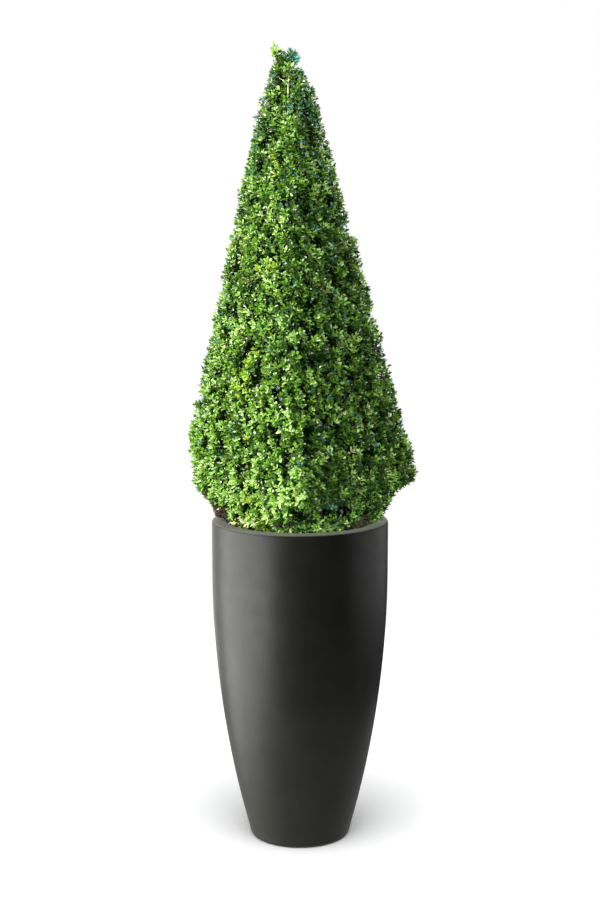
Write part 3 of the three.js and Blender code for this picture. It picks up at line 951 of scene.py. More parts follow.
def crown_wood(settings):
    """Limbs from the trunk and the boughs, and the branches on them, as (start, middle, end)."""
    draw = np.random.default_rng(settings.seed)
    heights, tips = wood_tips(settings.limbs, *LIMB_DEPTH, draw)
    span = np.hypot(tips[:, 0] - lean_at(heights), tips[:, 1])
    roots = np.clip(heights - LIMB_RISE * span, TRUNK_FOOT + LIMBLESS_FOOT, TRUNK_TOP - LIMBLESS_TIP)
    starts = trunk_point(roots)
    bough_tips = bough_lines(2)[:, -1]
    low = heights < BOUGH_LIMBS_BELOW
    starts[low] = bough_tips[nearest(tips[low], bough_tips)]
    limbs = (starts, (starts + tips) / 2 - UP * LIMB_SAG * span[:, None], tips)
    _, tips = wood_tips(settings.branches, *BRANCH_DEPTH, draw)
    limb = nearest(tips, limbs[2])
    share = draw.uniform(*BRANCH_STARTS, (len(tips), 1))
    starts = bend(*(part[limb] for part in limbs), share)
    middles = (starts + tips) / 2 + draw.normal(0, BRANCH_STRAY, tips.shape)
    return limbs, (starts, middles, tips)


def in_bare_stretch(azimuths, heights):
    """True where a place of the clipped surface has no leaves."""
    bare = np.zeros(len(heights), bool)
    for azimuth, spread, low, high, fall in BARE_STRETCHES:
        away = np.abs((np.degrees(azimuths) - azimuth + 180) % 360 - 180)
        bare |= (away < spread) & (heights > low) & (heights < high - fall * (away / spread) ** 2)
    return bare


def closeness(points, azimuth, depth, height, width):
    """Share that is 1 at a place under the clipped surface and falls to 0 at a width from it."""
    away = np.linalg.norm(points - under_surface(np.radians(azimuth), depth, height), axis=1) / width
    return np.clip(1 - away ** 2, 0, 1)


def crown_sprays(settings):
    """Tips, directions and outward normals of the sprays, by the source's rule carried finer."""
    draw = np.random.default_rng(settings.seed)
    heights = even_heights(settings.sprays)
    azimuths = square_azimuths(settings.sprays, draw)
    leafy = ~in_bare_stretch(azimuths, heights)
    heights, azimuths = heights[leafy], azimuths[leafy]
    outward = surface_normal(azimuths, heights)
    skin = under_surface(azimuths, np.zeros(len(heights)), heights)
    lumps = np.array([noise.noise(Vector(point) / settings.clump_size) for point in skin])
    depth = settings.inset - settings.clump * lumps + settings.crevice * ramp(-lumps, *CREVICE)
    depth += draw.normal(0, TIP_STRAY, len(skin))
    for azimuth, height, width, sink in HOLLOWS:
        depth += sink * closeness(skin, azimuth, 0, height, width)
    tips = skin - outward * depth[:, None]
    directions = unit(outward * SPRAY_OUT + UP * SPRAY_UP + draw.normal(0, SPRAY_STRAY, skin.shape))
    return tips, directions, outward, draw


def grown(draw, chance, total):
    """Factors of growth round 1, by their chance as (stray, least, most)."""
    stray, least, most = chance
    return draw.normal(1, stray, total).clip(least, most)


def leaves_on(tips, directions, outward, settings, draw, size=1.0, pairs=LEAF_PAIRS):
    """Opposite pairs of leaves along each spray, with their place, size, spray and order from its tip."""
    total = len(tips)
    across = unit(np.cross(directions, unit(draw.normal(0, 1, directions.shape))))
    aside = np.cross(directions, across)
    first_turn = draw.uniform(0, math.tau, total)
    leaves = []
    for order, (inset, spread, share) in enumerate(pairs):
        for side in (0, math.pi):
            turn = (first_turn + order * math.pi / 2 + side + draw.normal(0, LEAF_TURN, total))[:, None]
            lean = (math.radians(spread) + draw.normal(0, LEAF_LEAN, total))[:, None]
            radial = np.cos(turn) * across + np.sin(turn) * aside
            along = unit(np.cos(lean) * directions + np.sin(lean) * radial)
            face = np.sin(lean) * directions - np.cos(lean) * radial + LEAF_FACING * outward
            face = face + draw.normal(0, LEAF_TILT, face.shape)
            face = unit(face - (face * along).sum(1, keepdims=True) * along)
            long = settings.leaf * share * size * grown(draw, LEAF_LENGTHS, total)
            wide = long * grown(draw, LEAF_WIDTHS, total)
            cup = long * draw.uniform(*LEAF_CUPS, total)
            leaves.append({
                "base": tips - directions * inset * draw.uniform(*LEAF_PLACES, (total, 1)),
                "along": along,
                "face": face,
                "size": np.stack((long, wide, cup), -1),
                "spray": np.arange(total),
                "order": np.full(total, order),
            })
    return {name: np.concatenate([row[name] for row in leaves]) for name in leaves[0]}


def in_crown(points, proud):
    """True where points are in the crown's space, clear of the planter, the soil and the shoots."""
    x, y, z = points.T
    offset = x - crown_middle(z)
    reach = crown_reach(np.arctan2(y, offset), z) + proud
    inside = (np.hypot(offset, y) <= reach) & (z < CROWN_OUTLINE[-1][0] + proud)
    in_mouth = (np.hypot(x, y) < MOUTH_RADIUS - PLANTER_CLEARANCE) & (z > SOIL_TOP + SOIL_CLEARANCE)
    inside &= (z > RIM_HEIGHT + PLANTER_CLEARANCE) | in_mouth
    for shoot in SHOOTS:
        for share in SHOOT_PLACES:
            inside &= np.linalg.norm(points - shoot_line(shoot, share), axis=1) > SHOOT_SPACE
    low, high, half, front = LEADER_WINDOW
    away = np.abs(x - leader_point(LEADER[2])[0])
    return inside & ~((z > low) & (z < high) & (y < front) & (away < half))


def leader_point(offset):
    """Point that is given by its X from the trunk's line, its Y and its height."""
    return trunk_point(np.array(offset[2])) * (1, 0, 1) + np.array((offset[0], offset[1], 0))


def shoot_line(shoot, share):
    """Point of the line that one shoot at the tip follows."""
    _, root, tip, spread, _ = shoot
    start = trunk_point(np.array(TRUNK_TOP)) * (1, 1, 0) + UP * root
    middle = np.array((lean_at(root) + spread * SHOOT_BEND[0], 0, root + (tip - root) * SHOOT_BEND[1]))
    return bend(start, middle, np.array((lean_at(tip) + spread, 0, tip)), share)


def kept(rows, keep):
    """Rows of leaves that pass a test."""
    return {name: values[keep] for name, values in rows.items()}


def clear_leaves(rows, width, proud):
    """Leaves whose tip and both sides are in the crown's space."""
    across = np.cross(rows["face"], rows["along"])
    middle = rows["base"] + rows["along"] * rows["size"][:, :1] * 0.5
    half = across * rows["size"][:, 1:2] * width / 2
    tip = rows["base"] + rows["along"] * rows["size"][:, :1]
    keep = in_crown(tip, proud) & in_crown(middle + half, proud) & in_crown(middle - half, proud)
    return kept(rows, keep & in_crown(rows["base"], proud))


def lushness(tips, inset):
    """Share of lush growth at the tips of the sprays, from 0 to 1."""
    places = [closeness(tips, azimuth, inset, height, width) for azimuth, height, width in LUSH_PLACES]
    return np.max(places, axis=0)


def finish_shares(tips, outward, inset, draw):
    """How often each spray takes each finish, by its place and the way it faces, with painted light and
    painted shade.
    """
    above = {name: ramp(tips[:, 2], *zone) for name, zone in HEIGHTS.items()}
    facing = {name: ramp(outward[:, 0], *zone) for name, zone in SIDES.items()}
    crest, low, top, under = (above[name] for name in ("crest", "low", "top", "under"))
    sunny = np.clip(SUNNY_MIDDLE - outward[:, 0] + draw.normal(0, SUNNY_STRAY, len(tips)), 0, 1)
    # Painted light low on the sunny side, and painted shade low on the shady side.
    sunny_low_painted_light = 1.4 * low * facing["low"] * (1 - 0.6 * under)
    shady_low_painted_shade = low * (1 - sunny) * (1 - under)
    edge = facing["edge"]
    lumps = np.array([noise.noise(Vector(tip) / VIGOUR_PATCH) for tip in tips])
    vigour = VIGOUR_BASE ** (VIGOUR_RANGE * lumps)
    # Blue-green high on the shady side and at the top: partly a waxy bloom and partly painted cool shade.
    bloom = (1 + 2.5 * above["high"] * facing["high"]) * (1 + 2 * top)
    # Lighter finishes on the skirt's underside and at the far left edge are painted light, more deep leaves
    # at the crest and fewer light ones at the top are painted shade, and blue-green at the far left edge is
    # a painted cool reflection.
    factors = {
        "deep": (1 + 1.9 * shady_low_painted_shade) * (1 + 1.2 * crest) / (vigour * (1 + sunny_low_painted_light) * (1 + 4 * edge)),
        "mature": (1 + 0.4 * crest) / (1 + 0.6 * sunny_low_painted_light + under + edge),
        "bright": vigour * (1 + 3.3 * sunny_low_painted_light + 0.7 * under + edge) * (1 - 0.5 * top),
        "fresh": vigour ** 2 * (1 + 3.3 * sunny_low_painted_light + 0.8 * under) * (1 - 0.8 * top),
        "blue": bloom * (1 + 8 * crest * facing["crest"]) * (1 + 16 * above["cool"] * edge),
        "faded": 1 + 400 * above["pale"] ** 3 * sunny ** 2 + 90 * above["dry"] * facing["dry"],
        "lime": lushness(tips, inset),
    }
    on_sunny, on_shady = (np.array([row[side] for row in FINISHES.values()]) for side in (0, 1))
    shares = sunny[:, None] * on_sunny + (1 - sunny[:, None]) * on_shady
    for name, factor in factors.items():
        shares[:, FINISH_NAMES.index(name)] *= factor
    return shares


def deal_finishes(rows, tips, outward, inset, draw):
    """Index of each leaf's finish: its spray's, or a younger one at some tips and an older one inside."""
    limits = np.cumsum(finish_shares(tips, outward, inset, draw), axis=1)
    spray_finish = (draw.random((len(tips), 1)) * limits[:, -1:] > limits).sum(1)
    for azimuth, height, name in ACCENTS:
        place = under_surface(np.radians(azimuth), inset, height)
        spray_finish[np.linalg.norm(tips - place, axis=1).argmin()] = FINISH_NAMES.index(name)
    young = draw.random(len(tips)) < YOUNG_SHARE
    finish = spray_finish[rows["spray"]]
    younger, older = (
        np.array([FINISH_NAMES.index(row[age]) for row in FINISHES.values()]) for age in (2, 3)
    )
    finish = np.where((rows["order"] < 2) & young[rows["spray"]], younger[finish], finish)
    return np.where(rows["order"] > 2, older[finish], finish)


def leaf_template(name, side, rib, width):
    """Mesh of one leaf of unit length: two halves that meet in a raised midrib."""
    left = [(x, y * width / 2, z) for x, y, z in side]
    right = [(x, -y, z) for x, y, z in left[1:-1]]
    tip = len(left) - 1
    ribs = [len(left) + len(right) + i for i in range(len(rib))]
    right_edge = [0, *range(tip + 1, tip + len(left) - 1), tip]
    faces = [face[::-1] for face in leaf_half(range(tip + 1), ribs)] + leaf_half(right_edge, ribs)
    return bpy.data.objects.new(name, mesh_from(name, left + right + list(rib), faces))


def leaf_half(edge, ribs):
    """Triangles between the edge of a leaf and its midrib."""
    faces = []
    rib = 0
    for step in range(len(edge) - 1):
        faces.append((edge[step], edge[step + 1], ribs[rib]))
        if rib + 1 < len(ribs) and step + 1 >= (len(edge) - 1) / 2:
            faces.append((ribs[rib], edge[step + 1], ribs[rib + 1]))
            rib += 1
    return faces


def setting_tree():
    """Geometry Nodes tree that sets a shape on points, turned and sized by their attributes."""
    tree = bpy.data.node_groups.new("shapes set on points", "GeometryNodeTree")
    sockets = (
        ("Points", "NodeSocketGeometry"),
        ("Shape", "NodeSocketObject"),
        ("Finish", "NodeSocketMaterial"),
        ("Size spread", "NodeSocketFloat"),
        ("Seed", "NodeSocketInt"),
    )
    for name, kind in sockets:
        tree.interface.new_socket(name, in_out="INPUT", socket_type=kind)
    tree.interface.new_socket("Joined", in_out="OUTPUT", socket_type="NodeSocketGeometry")
    given = add_node(tree, "NodeGroupInput").outputs
    read = "GeometryNodeInputNamedAttribute"
    face, along, size = (
        add_node(tree, read, {"Name": name}, data_type="FLOAT_VECTOR").outputs[0] for name in POINT_VECTORS
    )
    turn = add_node(
        tree,
        "FunctionNodeAxesToRotation",
        {"Primary Axis": face, "Secondary Axis": along},
        primary_axis="Z",
        secondary_axis="X",
    ).outputs[0]
    spread = {0: 1.0, 1: given["Size spread"]}
    low, high = (
        add_node(tree, "ShaderNodeMath", spread, operation=sign).outputs[0] for sign in ("SUBTRACT", "ADD")
    )
    vary = {2: low, 3: high, "Seed": given["Seed"]}
    varied = add_node(tree, "FunctionNodeRandomValue", vary, data_type="FLOAT").outputs[1]
    scale = add_node(tree, "ShaderNodeVectorMath", {0: size, "Scale": varied}, operation="SCALE").outputs[0]
    shape = add_node(tree, "GeometryNodeObjectInfo", {"Object": given["Shape"]}).outputs["Geometry"]
    places = {"Points": given["Points"], "Instance": shape, "Rotation": turn, "Scale": scale}
    placed = add_node(tree, "GeometryNodeInstanceOnPoints", places).outputs[0]
    joined = add_node(tree, "GeometryNodeRealizeInstances", {"Geometry": placed}).outputs[0]
    finished = {"Geometry": joined, "Material": given["Finish"]}
    painted = add_node(tree, "GeometryNodeSetMaterial", finished).outputs[0]
    add_node(tree, "NodeGroupOutput", {"Joined": painted})
    return tree


def set_on_points(name, rows, shape, material, spread, seed):
    """Plain mesh of a shape set on points by Geometry Nodes, with the instances realized."""
    tree = bpy.data.node_groups.get("shapes set on points") or setting_tree()
    mesh = bpy.data.meshes.new(name)
    mesh.from_pydata(rows["base"].tolist(), [], [])
    for key in POINT_VECTORS:
        mesh.attributes.new(key, "FLOAT_VECTOR", "POINT").data.foreach_set("vector", rows[key].ravel())
    holder = bpy.data.objects.new(name, mesh)
    bpy.context.scene.collection.objects.link(holder)
    modifier = holder.modifiers.new("Setting", "NODES")
    modifier.node_group = tree
    values = {"Shape": shape, "Finish": material, "Size spread": spread, "Seed": seed}
    for item in tree.interface.items_tree:
        if item.in_out == "INPUT" and item.name in values:
            modifier[item.identifier] = values[item.name]
    graph = bpy.context.evaluated_depsgraph_get()
    joined = bpy.data.meshes.new_from_object(holder.evaluated_get(graph), depsgraph=graph)
    bpy.data.objects.remove(holder)
    for key in POINT_VECTORS:
        joined.attributes.remove(joined.attributes[key])
    joined.shade_smooth()
    return joined


def leaf_pieces(prefix, rows, finish, node):
    """One joined piece of leaves for each finish that occurs."""
    settings = bpy.context.scene.topiary_foliage
    shape = leaf_template("box leaf", LEAF_SIDE, LEAF_RIB, settings.width)
    for index, name in enumerate(FINISH_NAMES):
        chosen = kept(rows, finish == index)
        if len(chosen["base"]) == 0:
            continue
        tone = getattr(bpy.context.scene.topiary_colours, name)
        material = bpy.data.materials.get(f"waxy box leaf {name}") or waxy_leaf(name, tone)
        mesh = set_on_points(f"{prefix}_{name}", chosen, shape, material, LEAF_SPREAD, settings.seed)
        show(f"{prefix}_{name}", mesh, material, "foliage", node)
    bpy.data.objects.remove(shape)


class TOPIARY_OT_planter(bpy.types.Operator):
    """Makes the tall planter: foot, curved wall, rounded rim and flange"""

    bl_idname = "topiary.planter"
    bl_label = "Planter"

    def execute(self, context):
        settings = context.scene.topiary_planter
        points, faces = turned(planter_profile(), settings.segments)
        mesh = mesh_from("planter_shell", points, faces, crease=40)
        show("planter_shell", mesh, anthracite_composite(settings), "planter", "planter")
        return {"FINISHED"}


class TOPIARY_OT_soil(bpy.types.Operator):
    """Makes the lumpy compost and the crumbs on it"""

    bl_idname = "topiary.soil"
    bl_label = "Soil"

    def execute(self, context):
        settings = context.scene.topiary_soil
        material = potting_compost(settings)
        points, faces = soil_points()
        on_top = points[:, 2] > SOIL_TOP - 1e-6
        points[on_top, 2] += lumpy(points[on_top], settings)
        show("potting_soil", mesh_from("potting_soil", points, faces, crease=60), material, "soil", "soil")
        draw = np.random.default_rng(settings.seed)
        near, far = CRUMB_RING
        radius = np.sqrt(draw.uniform(near ** 2, far ** 2, settings.crumbs))
        azimuth = draw.uniform(0, math.tau, settings.crumbs)
        level = np.full(settings.crumbs, SOIL_TOP)
        base = np.stack((radius * np.cos(azimuth), radius * np.sin(azimuth), level), -1)
        base[:, 2] += lumpy(base, settings) + settings.crumb * CRUMB_LIFT
        rows = {"base": base, "face": unit(draw.normal(0, 1, base.shape))}
        rows["along"] = unit(np.cross(rows["face"], unit(draw.normal(0, 1, base.shape))))
        rows["size"] = settings.crumb * draw.uniform(*CRUMB_SIZES, base.shape)
        crumb = bpy.data.objects.new("crumb", crumb_mesh())
        mesh = set_on_points("soil_crumbs", rows, crumb, material, CRUMB_SPREAD, settings.seed)
        show("soil_crumbs", mesh, material, "soil", "soil")
        bpy.data.objects.remove(crumb)
        return {"FINISHED"}


def crumb_mesh():
    """Rough crumb of unit width: a dented octahedron with split faces."""
    corners = [(0.5, 0, 0), (-0.45, 0, 0.05), (0, 0.5, 0), (0, -0.42, 0), (0.05, 0, 0.5), (0, 0.05, -0.46)]
    sides = [(0.34, 0.3, 0.25), (-0.28, 0.3, 0.3), (-0.3, -0.25, 0.3), (0.3, -0.3, 0.25)]
    faces = []
    for index, (a, b) in enumerate(((0, 2), (2, 1), (1, 3), (3, 0))):
        peak = 6 + index
        faces += [(a, b, peak), (b, 4, peak), (4, a, peak), (b, a, 5)]
    return mesh_from("crumb", corners + sides, faces)


class TOPIARY_OT_trunk(bpy.types.Operator):
    """Makes the trunk and the low boughs with the relief of their bark"""

    bl_idname = "topiary.trunk"
    bl_label = "Trunk and boughs"

    def execute(self, context):
        settings = context.scene.topiary_wood
        material = boxwood_bark(settings)
        heights = np.linspace(TRUNK_FOOT, TRUNK_TOP, TRUNK_RINGS)
        line = trunk_point(heights)[None]
        mesh = barked_mesh("trunk_bark", line, trunk_radius(heights)[None], TRUNK_SIDES, settings)
        show("trunk_bark", mesh, material, "bark", "trunk")
        lines = bough_lines(BOUGH_RINGS)
        widths = np.broadcast_to(np.linspace(*BOUGH_RADII, BOUGH_RINGS), lines.shape[:2])
        mesh = barked_mesh("bough_bark", lines, widths, BOUGH_SIDES, settings)
        show("bough_bark", mesh, material, "bark", *(f"bough_{i + 1}" for i in range(BOUGH_COUNT)))
        return {"FINISHED"}


class TOPIARY_OT_crown_wood(bpy.types.Operator):
    """Makes the limbs, branches and spray stems inside the crown"""

    bl_idname = "topiary.crown_wood"
    bl_label = "Crown wood"

    def execute(self, context):
        settings = context.scene.topiary_wood
        limbs, branches = crown_wood(settings)
        bark = bpy.data.materials["corky boxwood bark"]
        show_stems("crown_limbs", bends(*limbs, stations=6), bark, "crown")
        skin = twig_skin("boxwood twig skin", settings.fissure, settings.twig)
        show_stems("crown_branches", bends(*branches, stations=4), skin, "crown")
        foliage = context.scene.topiary_foliage
        tips, directions, _, draw = crown_sprays(foliage)
        branch = nearest(tips, branches[2])
        share = draw.uniform(*SPRAY_STARTS, (len(tips), 1))
        starts = bend(*(part[branch] for part in branches), share)
        lines = bends(starts, tips - directions * foliage.stem, tips, stations=3)
        young = twig_skin("young boxwood twig skin", settings.twig, settings.young_twig)
        show_stems("crown_twigs", lines, young, "crown")
        return {"FINISHED"}


def bare_twig_lines(stretch, most, draw):
    """Lines of bare twigs that come out of one bare stretch and bend along its surface."""
    azimuth, spread, low, high, fall = stretch
    total = int(most * spread / FULL_STRETCH)
    away = draw.uniform(-BARE_TWIG_SPREAD, BARE_TWIG_SPREAD, total)
    azimuths = np.radians(azimuth + spread * away)
    low = max(low, RIM_HEIGHT + RIM_CLEARANCE)
    heights = low + (high + BARE_TWIG_RISE - fall * away ** 2 - low) * draw.random(total)
    turn = np.radians(draw.normal(0, BARE_TWIG_STRAY, total))
    root, middle, tip = BARE_TWIG_DEPTHS
    starts = under_surface(azimuths, draw.uniform(*root, total), heights + BARE_TWIG_RISE)
    middles = under_surface(azimuths + turn, draw.uniform(*middle, total), heights)
    rise = draw.normal(*BARE_TIP_RISE, total)
    ends = under_surface(azimuths + 2 * turn, draw.uniform(*tip, total), heights + rise)
    ends[:, 2] = np.maximum(ends[:, 2], RIM_HEIGHT + RIM_CLEARANCE)
    return bends(starts, middles, ends, stations=5)


class TOPIARY_OT_leader(bpy.types.Operator):
    """Makes the pale leading stem that shows near the tip, and its two arms, painted paler with painted
    light
    """

    bl_idname = "topiary.leader"
    bl_label = "Leading stem"

    def execute(self, context):
        settings = context.scene.topiary_wood
        skin = twig_skin("smooth boxwood stem skin", settings.leader, settings.young_twig)
        root, middle, fork = (leader_point(offset)[None] for offset in LEADER)
        show_stems("leader_stem", bends(root, middle, fork, stations=14), skin, "crown")
        ends = np.array([leader_point(offset) for offset in LEADER_ARMS])
        forks = np.repeat(fork, len(ends), axis=0)
        arms = bends(forks - UP * ARM_OVERLAP, (forks + ends) / 2 + UP * ARM_BEND, ends, stations=7)
        show_stems("leader_arms", arms, skin, "crown")
        return {"FINISHED"}


class TOPIARY_OT_bare_twigs(bpy.types.Operator):
    """Makes the bare old twigs that show under the skirt"""

    bl_idname = "topiary.bare_twigs"
    bl_label = "Bare twigs"

    def execute(self, context):
        settings = context.scene.topiary_wood
        draw = np.random.default_rng(settings.seed + 1)
        # The bare twigs' dark colours hold painted shade of the skirt over them.
        skin = twig_skin("old boxwood twig skin", settings.old_twig_and_painted_shade, settings.grey_twig_and_painted_shade)
        lines = [bare_twig_lines(stretch, settings.bare_twigs, draw) for stretch in BARE_STRETCHES]
        show_stems("bare_twigs", np.concatenate(lines), skin, "crown")
        return {"FINISHED"}


class TOPIARY_OT_crown_leaves(bpy.types.Operator):
    """Makes the leaves of the crown, one piece for each finish"""

    bl_idname = "topiary.crown_leaves"
    bl_label = "Crown leaves"

    def execute(self, context):
        settings = context.scene.topiary_foliage
        tips, directions, outward, draw = crown_sprays(settings)
        rows = leaves_on(tips, directions, outward, settings, draw)
        rows = clear_leaves(rows, settings.width, settings.proud)
        finish = deal_finishes(rows, tips, outward, settings.inset, draw)
        leaf_pieces("leaves", rows, finish, "crown")
        return {"FINISHED"}


class TOPIARY_OT_inner_leaves(bpy.types.Operator):
    """Makes the old leaves inside the clipped surface"""

    bl_idname = "topiary.inner_leaves"
    bl_label = "Inner leaves"

    def execute(self, context):
        settings = context.scene.topiary_foliage
        draw = np.random.default_rng(settings.seed + 1)
        heights = even_heights(settings.inner)
        azimuths = square_azimuths(settings.inner, draw)
        most = INNER_REACH * crown_reach(azimuths, heights)
        depth = np.minimum(draw.uniform(*INNER_DEPTH, settings.inner), most)
        outward = surface_normal(azimuths, heights)
        face = unit(outward + draw.normal(0, INNER_TILT, outward.shape))
        along = unit(np.cross(face, unit(draw.normal(0, 1, face.shape))))
        long = settings.leaf * draw.uniform(*INNER_LENGTHS, settings.inner)
        base = under_surface(azimuths, depth, heights) - along * long[:, None] / 2
        rows = {"base": base, "along": along, "face": face, "size": np.stack((long, long, long), -1)}
        rows = clear_leaves(rows, settings.width, proud=0)
        shape = leaf_template("old box leaf", OLD_LEAF_SIDE, OLD_LEAF_RIB, settings.width * INNER_WIDTH)
        # The inner leaves' very dark colour holds painted shade of the crown's inside.
        material = waxy_leaf("inner", context.scene.topiary_colours.inner)
        mesh = set_on_points("inner_leaves", rows, shape, material, INNER_SPREAD, settings.seed)
        show("inner_leaves", mesh, material, "foliage", "crown")
        bpy.data.objects.remove(shape)
        return {"FINISHED"}


def shoot_sprays(shoot, line, draw):
    """Roots, directions and tips of the sprays of one shoot: a ring of side sprays and an erect top."""
    roots = [shoot_line(shoot, share) for share in np.linspace(SHOOT_LEAFY_FROM, 1.0, SHOOT_SPRAYS)]
    turns = GOLDEN_SHARE * math.tau * np.arange(SHOOT_SPRAYS) + draw.uniform(0, math.tau)
    outward = np.stack((np.cos(turns), np.sin(turns), np.zeros(SHOOT_SPRAYS)), -1)
    ways = unit(outward + UP * draw.uniform(*SHOOT_RISE, (SHOOT_SPRAYS, 1)))
    reach = draw.uniform(*SHOOT_REACH, SHOOT_SPRAYS)
    erect = unit(unit(line[-1] - line[-2]) + SHOOT_ENDS * (1, 1, 0))
    roots = np.concatenate((roots, np.repeat(line[-1:], len(erect), axis=0)))
    ways = np.concatenate((ways, erect))
    reach = np.concatenate((reach, SHOOT_ENDS[:, 2]))
    return roots, ways, roots + ways * reach[:, None]


def top_sprays(draw):
    """Roots, directions and tips of the sprays that fill the crown between its two shoots."""
    tips = []
    for total, first, last, top in TOP_FILLS:
        across = np.linspace(first, last, total)
        depth = draw.uniform(*TOP_STRAY_Y, total)
        height = top + draw.uniform(*TOP_STRAY_Z, total)
        tips.append(np.stack((lean_at(height) + across, depth, height), -1))
    tips = np.concatenate(tips)
    roots = trunk_point(np.full(len(tips), TRUNK_TOP - TOP_ROOT_DEPTH))
    return roots, unit(tips - roots + UP * TOP_RISE), tips


class TOPIARY_OT_crown_top(bpy.types.Operator):
    """Makes the leafy sprays at the top of the crown, between the two shoots"""

    bl_idname = "topiary.crown_top"
    bl_label = "Crown top"

    def execute(self, context):
        settings = context.scene.topiary_foliage
        draw = np.random.default_rng(settings.seed + 7)
        roots, ways, tips = top_sprays(draw)
        skin = bpy.data.materials["young boxwood twig skin"]
        show_stems("crown_top_twigs", bends(roots, (tips + roots) / 2, tips, stations=5), skin, "crown")
        rows = leaves_on(tips, ways, ways, settings, draw, TOP_LEAF_SIZE, LEAF_PAIRS[:4])
        blue, mid, mature = (FINISH_NAMES.index(name) for name in ("blue", "mid", "mature"))
        bluish = (tips[:, 0] > BLUISH_FROM)[rows["spray"]]
        finish = np.where(bluish, blue, np.where(rows["order"] == 0, mid, mature))
        leaf_pieces("crown_top", rows, finish, "crown")
        return {"FINISHED"}


class TOPIARY_OT_tip_shoots(bpy.types.Operator):
    """Makes the two unclipped shoots at the tip"""

    bl_idname = "topiary.tip_shoots"
    bl_label = "Tip shoots"

    def execute(self, context):
        settings = context.scene.topiary_foliage
        skin = bpy.data.materials["young boxwood twig skin"]
        for index, shoot in enumerate(SHOOTS):
            name = shoot[0]
            draw = np.random.default_rng(settings.seed + 2 + index)
            line = np.array([shoot_line(shoot, share) for share in np.linspace(0, 1, 9)])
            roots, ways, tips = shoot_sprays(shoot, line, draw)
            show_stems("stem", line[None], skin, name, prefix=f"{name}_")
            twigs = bends(roots, (tips + roots) / 2, tips, stations=4)
            show_stems("twigs", twigs, skin, name, prefix=f"{name}_")
            rows = leaves_on(tips, ways, ways, settings, draw, TOP_LEAF_SIZE, LEAF_PAIRS[:3])
            finish = np.full(len(rows["order"]), FINISH_NAMES.index(shoot[-1]))
            leaf_pieces(f"{name}_leaves", rows, finish, name)
        return {"FINISHED"}


def light_group(name, pieces):
    """Collection of the pieces that one light falls on."""
    group = bpy.data.collections.new(name)
    for piece in pieces:
        group.objects.link(piece)
    return group


def place_light(light, place, target, lit, shading):
    """Puts a light at a place, turned to its target, that falls on one group and is shaded by one."""
    lamp = bpy.data.objects.new(light.name, light)
    lamp.location = place
    lamp.rotation_euler = (Vector(target) - Vector(place)).to_track_quat("-Z", "Y").to_euler()
    lamp.visible_camera = False
    lamp.light_linking.receiver_collection = lit
    lamp.light_linking.blocker_collection = shading
    bpy.context.scene.collection.objects.link(lamp)


def add_panel(name, place, target, size, power, lit, shading):
    """Soft light panel that lights one group of pieces, and is shaded by one group alone."""
    light = bpy.data.lights.new(name, "AREA")
    light.shape = "RECTANGLE"
    light.size, light.size_y = size
    light.energy = power
    place_light(light, place, target, lit, shading)


def add_sun(name, place, spread, tone, strength, lit, shading):
    """Sun that shines from a place towards the middle of the crown, with a spread in degrees."""
    light = bpy.data.lights.new(name, "SUN")
    light.energy = strength
    light.angle = math.radians(spread)
    light.color = tone
    place_light(light, place, SUN_TARGET, lit, shading)


def studio_room(settings):
    """Room round the stage: it looks white, and lights the object only faintly."""
    world = bpy.data.worlds.new("pale studio room")
    world.use_nodes = True
    tree = world.node_tree
    tree.nodes.clear()
    seen = add_node(tree, "ShaderNodeBackground", {"Color": (1, 1, 1, 1), "Strength": 1.0})
    faint = {"Color": (0.82, 0.92, 1, 1), "Strength": settings.ambient}
    light = add_node(tree, "ShaderNodeBackground", faint)
    path = add_node(tree, "ShaderNodeLightPath").outputs["Is Camera Ray"]
    mix = add_node(tree, "ShaderNodeMixShader", {0: path, 1: light.outputs[0], 2: seen.outputs[0]})
    add_node(tree, "ShaderNodeOutputWorld", {"Surface": mix.outputs[0]})
    bpy.context.scene.world = world


def studio_floor(settings):
    """Round pale floor, level with the planter's foot, that throws no light back."""
    profile = [(0, -FLOOR_THICKNESS), (FLOOR_RADIUS, -FLOOR_THICKNESS), (FLOOR_RADIUS, 0), (0, 0)]
    points, faces = turned(profile, FLOOR_SEGMENTS)
    floor = bpy.data.objects.new("studio_floor", mesh_from("studio_floor", points, faces, crease=30))
    floor.data.materials.append(studio_paper(settings))
    bpy.context.scene.collection.objects.link(floor)
    floor.visible_diffuse = False
    floor.visible_glossy = False
    floor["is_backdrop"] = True
    return floor


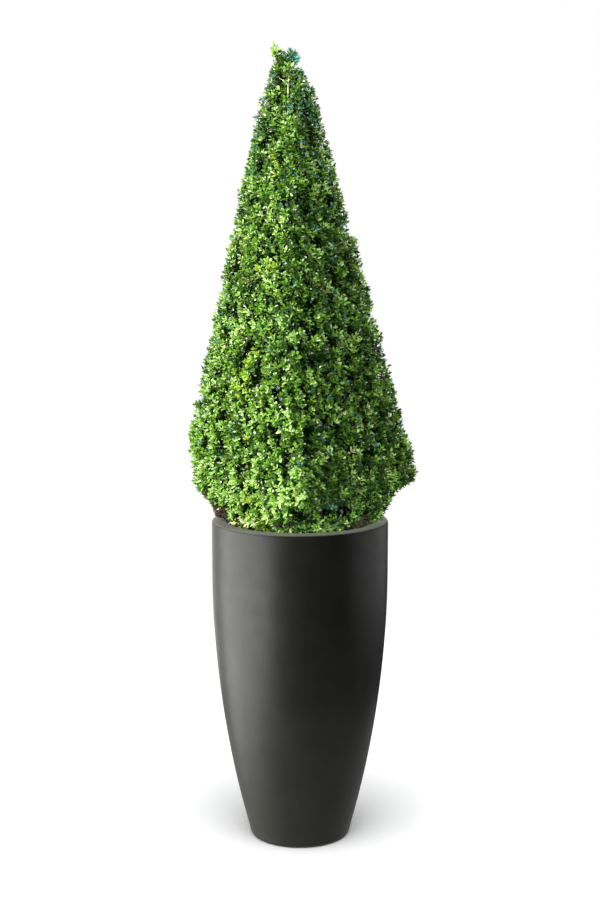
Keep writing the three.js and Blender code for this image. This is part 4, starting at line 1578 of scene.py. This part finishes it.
class TOPIARY_OT_stage(bpy.types.Operator):
    """Makes the pale floor, the soft lights and the camera"""

    bl_idname = "topiary.stage"
    bl_label = "Stage"

    def execute(self, context):
        settings = context.scene.topiary_stage
        scene = context.scene
        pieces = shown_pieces()
        floor = studio_floor(settings)
        planter = [piece for piece in pieces if piece.name == "planter_shell"]
        plant = [piece for piece in pieces if piece.name != "planter_shell"]
        lit_groups = {"planter": planter, "plant": plant, "object": pieces, "floor": [floor]}
        groups = {name: light_group(f"{name} light", members) for name, members in lit_groups.items()}
        for name, place, target, size, lit, shading in PANELS:
            add_panel(name, place, target, size, getattr(settings, name), groups[lit], groups[shading])
        for name, place, spread, tone, lit, shading in SUNS:
            add_sun(name, place, spread, tone, getattr(settings, name), groups[lit], groups[shading])
        studio_room(settings)
        camera = bpy.data.objects.new("camera", bpy.data.cameras.new("camera"))
        camera.data.lens = CAMERA_LENS
        camera.location = CAMERA_PLACE
        camera.rotation_euler = (math.pi / 2 - CAMERA_TILT, 0, 0)
        scene.collection.objects.link(camera)
        scene.camera = camera
        scene.view_settings.view_transform = "Standard"
        return {"FINISHED"}


class TOPIARY_PT_panel(bpy.types.Panel):
    """Lists the pieces of the topiary"""

    bl_idname = "TOPIARY_PT_panel"
    bl_label = "Topiary"
    bl_space_type = "VIEW_3D"
    bl_region_type = "UI"
    bl_category = "Topiary"

    def draw(self, context):
        for operator in OPERATORS:
            self.layout.operator(operator.bl_idname)


SETTINGS = {
    "topiary_planter": PlanterSettings,
    "topiary_soil": SoilSettings,
    "topiary_wood": WoodSettings,
    "topiary_foliage": FoliageSettings,
    "topiary_colours": LeafColours,
    "topiary_stage": StageSettings,
}

OPERATORS = (
    TOPIARY_OT_planter,
    TOPIARY_OT_soil,
    TOPIARY_OT_trunk,
    TOPIARY_OT_crown_wood,
    TOPIARY_OT_bare_twigs,
    TOPIARY_OT_leader,
    TOPIARY_OT_crown_leaves,
    TOPIARY_OT_inner_leaves,
    TOPIARY_OT_crown_top,
    TOPIARY_OT_tip_shoots,
    TOPIARY_OT_stage,
)


def register():
    for group in (*SETTINGS.values(), *OPERATORS, TOPIARY_PT_panel):
        bpy.utils.register_class(group)
    for name, group in SETTINGS.items():
        setattr(bpy.types.Scene, name, bpy.props.PointerProperty(type=group))


def unregister():
    for name in SETTINGS:
        delattr(bpy.types.Scene, name)
    for group in reversed((*SETTINGS.values(), *OPERATORS, TOPIARY_PT_panel)):
        bpy.utils.unregister_class(group)


def main():
    register()
    bpy.ops.topiary.planter()
    bpy.ops.topiary.soil()
    bpy.ops.topiary.trunk()
    bpy.ops.topiary.crown_wood()
    bpy.ops.topiary.bare_twigs()
    bpy.ops.topiary.leader()
    bpy.ops.topiary.crown_leaves()
    bpy.ops.topiary.inner_leaves()
    bpy.ops.topiary.crown_top()
    bpy.ops.topiary.tip_shoots()
    bpy.ops.topiary.stage()


if __name__ == "__main__":
    main()
